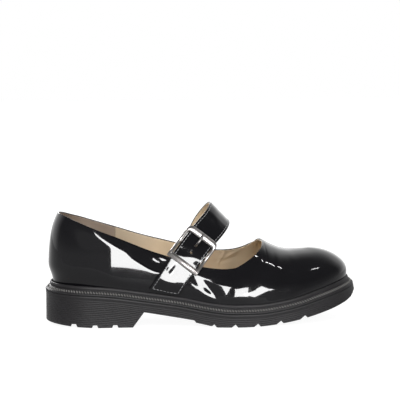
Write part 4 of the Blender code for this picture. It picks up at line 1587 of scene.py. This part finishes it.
# Directions are degrees round from the outer side towards the toe, and degrees up.
LIGHTS = (
    ("name", "round", "up", "away", "width", "height", "turned", "watts", "mirrored"),
    ("window", 3.0, 3.75, 2.0, 0.491, 0.58, 0.0, 27.0, True),
    ("side_window", 16.0, 5.0, 2.0, 0.63, 0.28, 45.0, 17.0, True),
    ("back_window", 200.0, 20.0, 2.0, 0.5, 0.5, 0.0, 15.0, True),
    ("fill", -10.0, 42.0, 1.6, 1.6, 1.6, 0.0, 25.0, False),
)
TUBE_ENDS = ((0.95, -0.43, 1.5), (1.12, -0.31, 1.5))    # a thin lamp overhead
TUBE_WIDTH = 0.03
TUBE_WATTS = 1.2
FLOOR_FRONT = -0.37         # y of its front edge
FLOOR_GREY = 0.22
FLOOR_GLOW = 0.93
FLOOR_SHINE = 0.4           # how bright the floor is for what it lights and what mirrors it
FLOOR_REACH = 5.0


def area_light(name, place, across, size, watts, mirrored=True):
    """A rectangular lamp that faces the shoe, its width along a direction: it is mirrored, or it lights."""
    data = bpy.data.lights.new(name, "AREA")
    data.shape = "RECTANGLE"
    data.size, data.size_y = size
    data.energy = watts
    back = (Vector(place) - LIGHT_TARGET).normalized()
    side = (across - back * across.dot(back)).normalized()
    obj = bpy.data.objects.new(name, data)
    obj.matrix_world = placement(side, back.cross(side), back, place)
    obj.visible_glossy = mirrored
    obj.visible_diffuse = not mirrored
    bpy.context.scene.collection.objects.link(obj)


def studio_world():
    """White behind the shoe, and a dim room that is lighter at the back for what shines."""
    world = bpy.data.worlds.new("studio")
    world.use_nodes = True
    nodes = Nodes(world.node_tree)
    way = nodes.coordinates.outputs["Generated"]
    behind, up = nodes.axis("Y", way), nodes.axis("Z", way)
    glow = nodes.ramp(behind, (0.05, 0.0), (0.5, 1.0)) * nodes.ramp(up, (0.6, 1.0), (0.9, 0.0)) * 0.8
    room = nodes.ramp(up, (0.0, 0.5), (0.12, 0.28), (0.4, 0.13))
    seen = Value(nodes, nodes.node("ShaderNodeLightPath").outputs["Is Camera Ray"])
    shade = nodes.math("MAXIMUM", room + glow, seen)
    nodes.put(world.node_tree.nodes["Background"].inputs["Color"],
              nodes.shade(shade, (0.0, 0.0, 0.0), (1.0, 1.0, 1.0)))
    return world


def pale_floor():
    bm = bmesh.new()
    bmesh.ops.create_grid(bm, x_segments=1, y_segments=1, size=1.0)
    bmesh.ops.scale(bm, vec=(FLOOR_REACH, (FLOOR_REACH - FLOOR_FRONT) / 2, 1.0), verts=bm.verts[:])
    bmesh.ops.translate(bm, vec=(0.0, (FLOOR_REACH + FLOOR_FRONT) / 2, 0.0), verts=bm.verts[:])
    floor = new_object("floor", bm)
    finish = Finish("pale_floor", (FLOOR_GREY,) * 3, roughness=0.9, emission_strength=FLOOR_GLOW)
    seen = Value(finish, finish.node("ShaderNodeLightPath").outputs["Is Camera Ray"])
    finish.set(emission_color=finish.shade(seen, (FLOOR_SHINE,) * 3, (1.0, 1.0, 1.0)))
    floor.data.materials.append(finish.material)


class SHOE_OT_stage(bpy.types.Operator):
    """Pale floor, soft studio light and the camera"""
    bl_idname = "shoe.stage"
    bl_label = "Stage"

    def execute(self, context):
        scene = context.scene
        pale_floor()
        scene.world = studio_world()
        for name, round_, up, away, width, height, turned, watts, mirrored in LIGHTS[1:]:
            turn, rise, slant = (math.radians(angle) for angle in (round_, up, turned))
            flat = math.cos(rise)
            way = Vector((math.sin(turn) * flat, -math.cos(turn) * flat, math.sin(rise)))
            level = Vector((math.cos(turn), math.sin(turn), 0.0))
            across = level * math.cos(slant) + UP * math.sin(slant)
            area_light(name, LIGHT_TARGET + way * away, across, (width, height), watts, mirrored)
        start, end = (Vector(point) for point in TUBE_ENDS)
        area_light("tube", (start + end) / 2, end - start, ((end - start).length, TUBE_WIDTH), TUBE_WATTS)
        camera = bpy.data.objects.new("camera", bpy.data.cameras.new("camera"))
        scene.collection.objects.link(camera)
        camera.location = CAMERA_PLACE
        camera.rotation_euler = (math.radians(90 - CAMERA_FALL), 0.0, math.radians(-CAMERA_HEADING))
        camera.data.lens = CAMERA_LENS
        camera.data.sensor_width = 36.0
        scene.camera = camera
        scene.view_settings.view_transform = "Standard"
        return {"FINISHED"}


# ---------------------------------------------------------------- add-on
OPERATORS = (
    SHOE_OT_outsole,
    SHOE_OT_welt,
    SHOE_OT_ticks,
    SHOE_OT_insole,
    SHOE_OT_upper,
    SHOE_OT_lining,
    SHOE_OT_strap,
    SHOE_OT_strap_backing,
    SHOE_OT_strap_stitches,
    SHOE_OT_buckle,
    SHOE_OT_pin,
    SHOE_OT_chape,
    SHOE_OT_stage,
)


class SHOE_PT_pieces(bpy.types.Panel):
    bl_label = "Strap shoe"
    bl_idname = "SHOE_PT_pieces"
    bl_space_type = "VIEW_3D"
    bl_region_type = "UI"
    bl_category = "Strap shoe"

    def draw(self, context):
        layout = self.layout
        for group in (context.scene.shoe_sizes, context.scene.shoe_colours):
            column = layout.column(align=True)
            for name in group.__annotations__:
                column.prop(group, name)
        column = layout.column(align=True)
        for operator in OPERATORS:
            column.operator(operator.bl_idname)


CLASSES = (ShoeSizes, ShoeColours) + OPERATORS + (SHOE_PT_pieces,)


def register():
    for cls in CLASSES:
        bpy.utils.register_class(cls)
    bpy.types.Scene.shoe_sizes = PointerProperty(type=ShoeSizes)
    bpy.types.Scene.shoe_colours = PointerProperty(type=ShoeColours)


def unregister():
    del bpy.types.Scene.shoe_colours
    del bpy.types.Scene.shoe_sizes
    for cls in reversed(CLASSES):
        bpy.utils.unregister_class(cls)


def main():
    register()
    for operator in OPERATORS:
        group, name = operator.bl_idname.split(".")
        getattr(getattr(bpy.ops, group), name)()


if __name__ == "__main__":
    main()
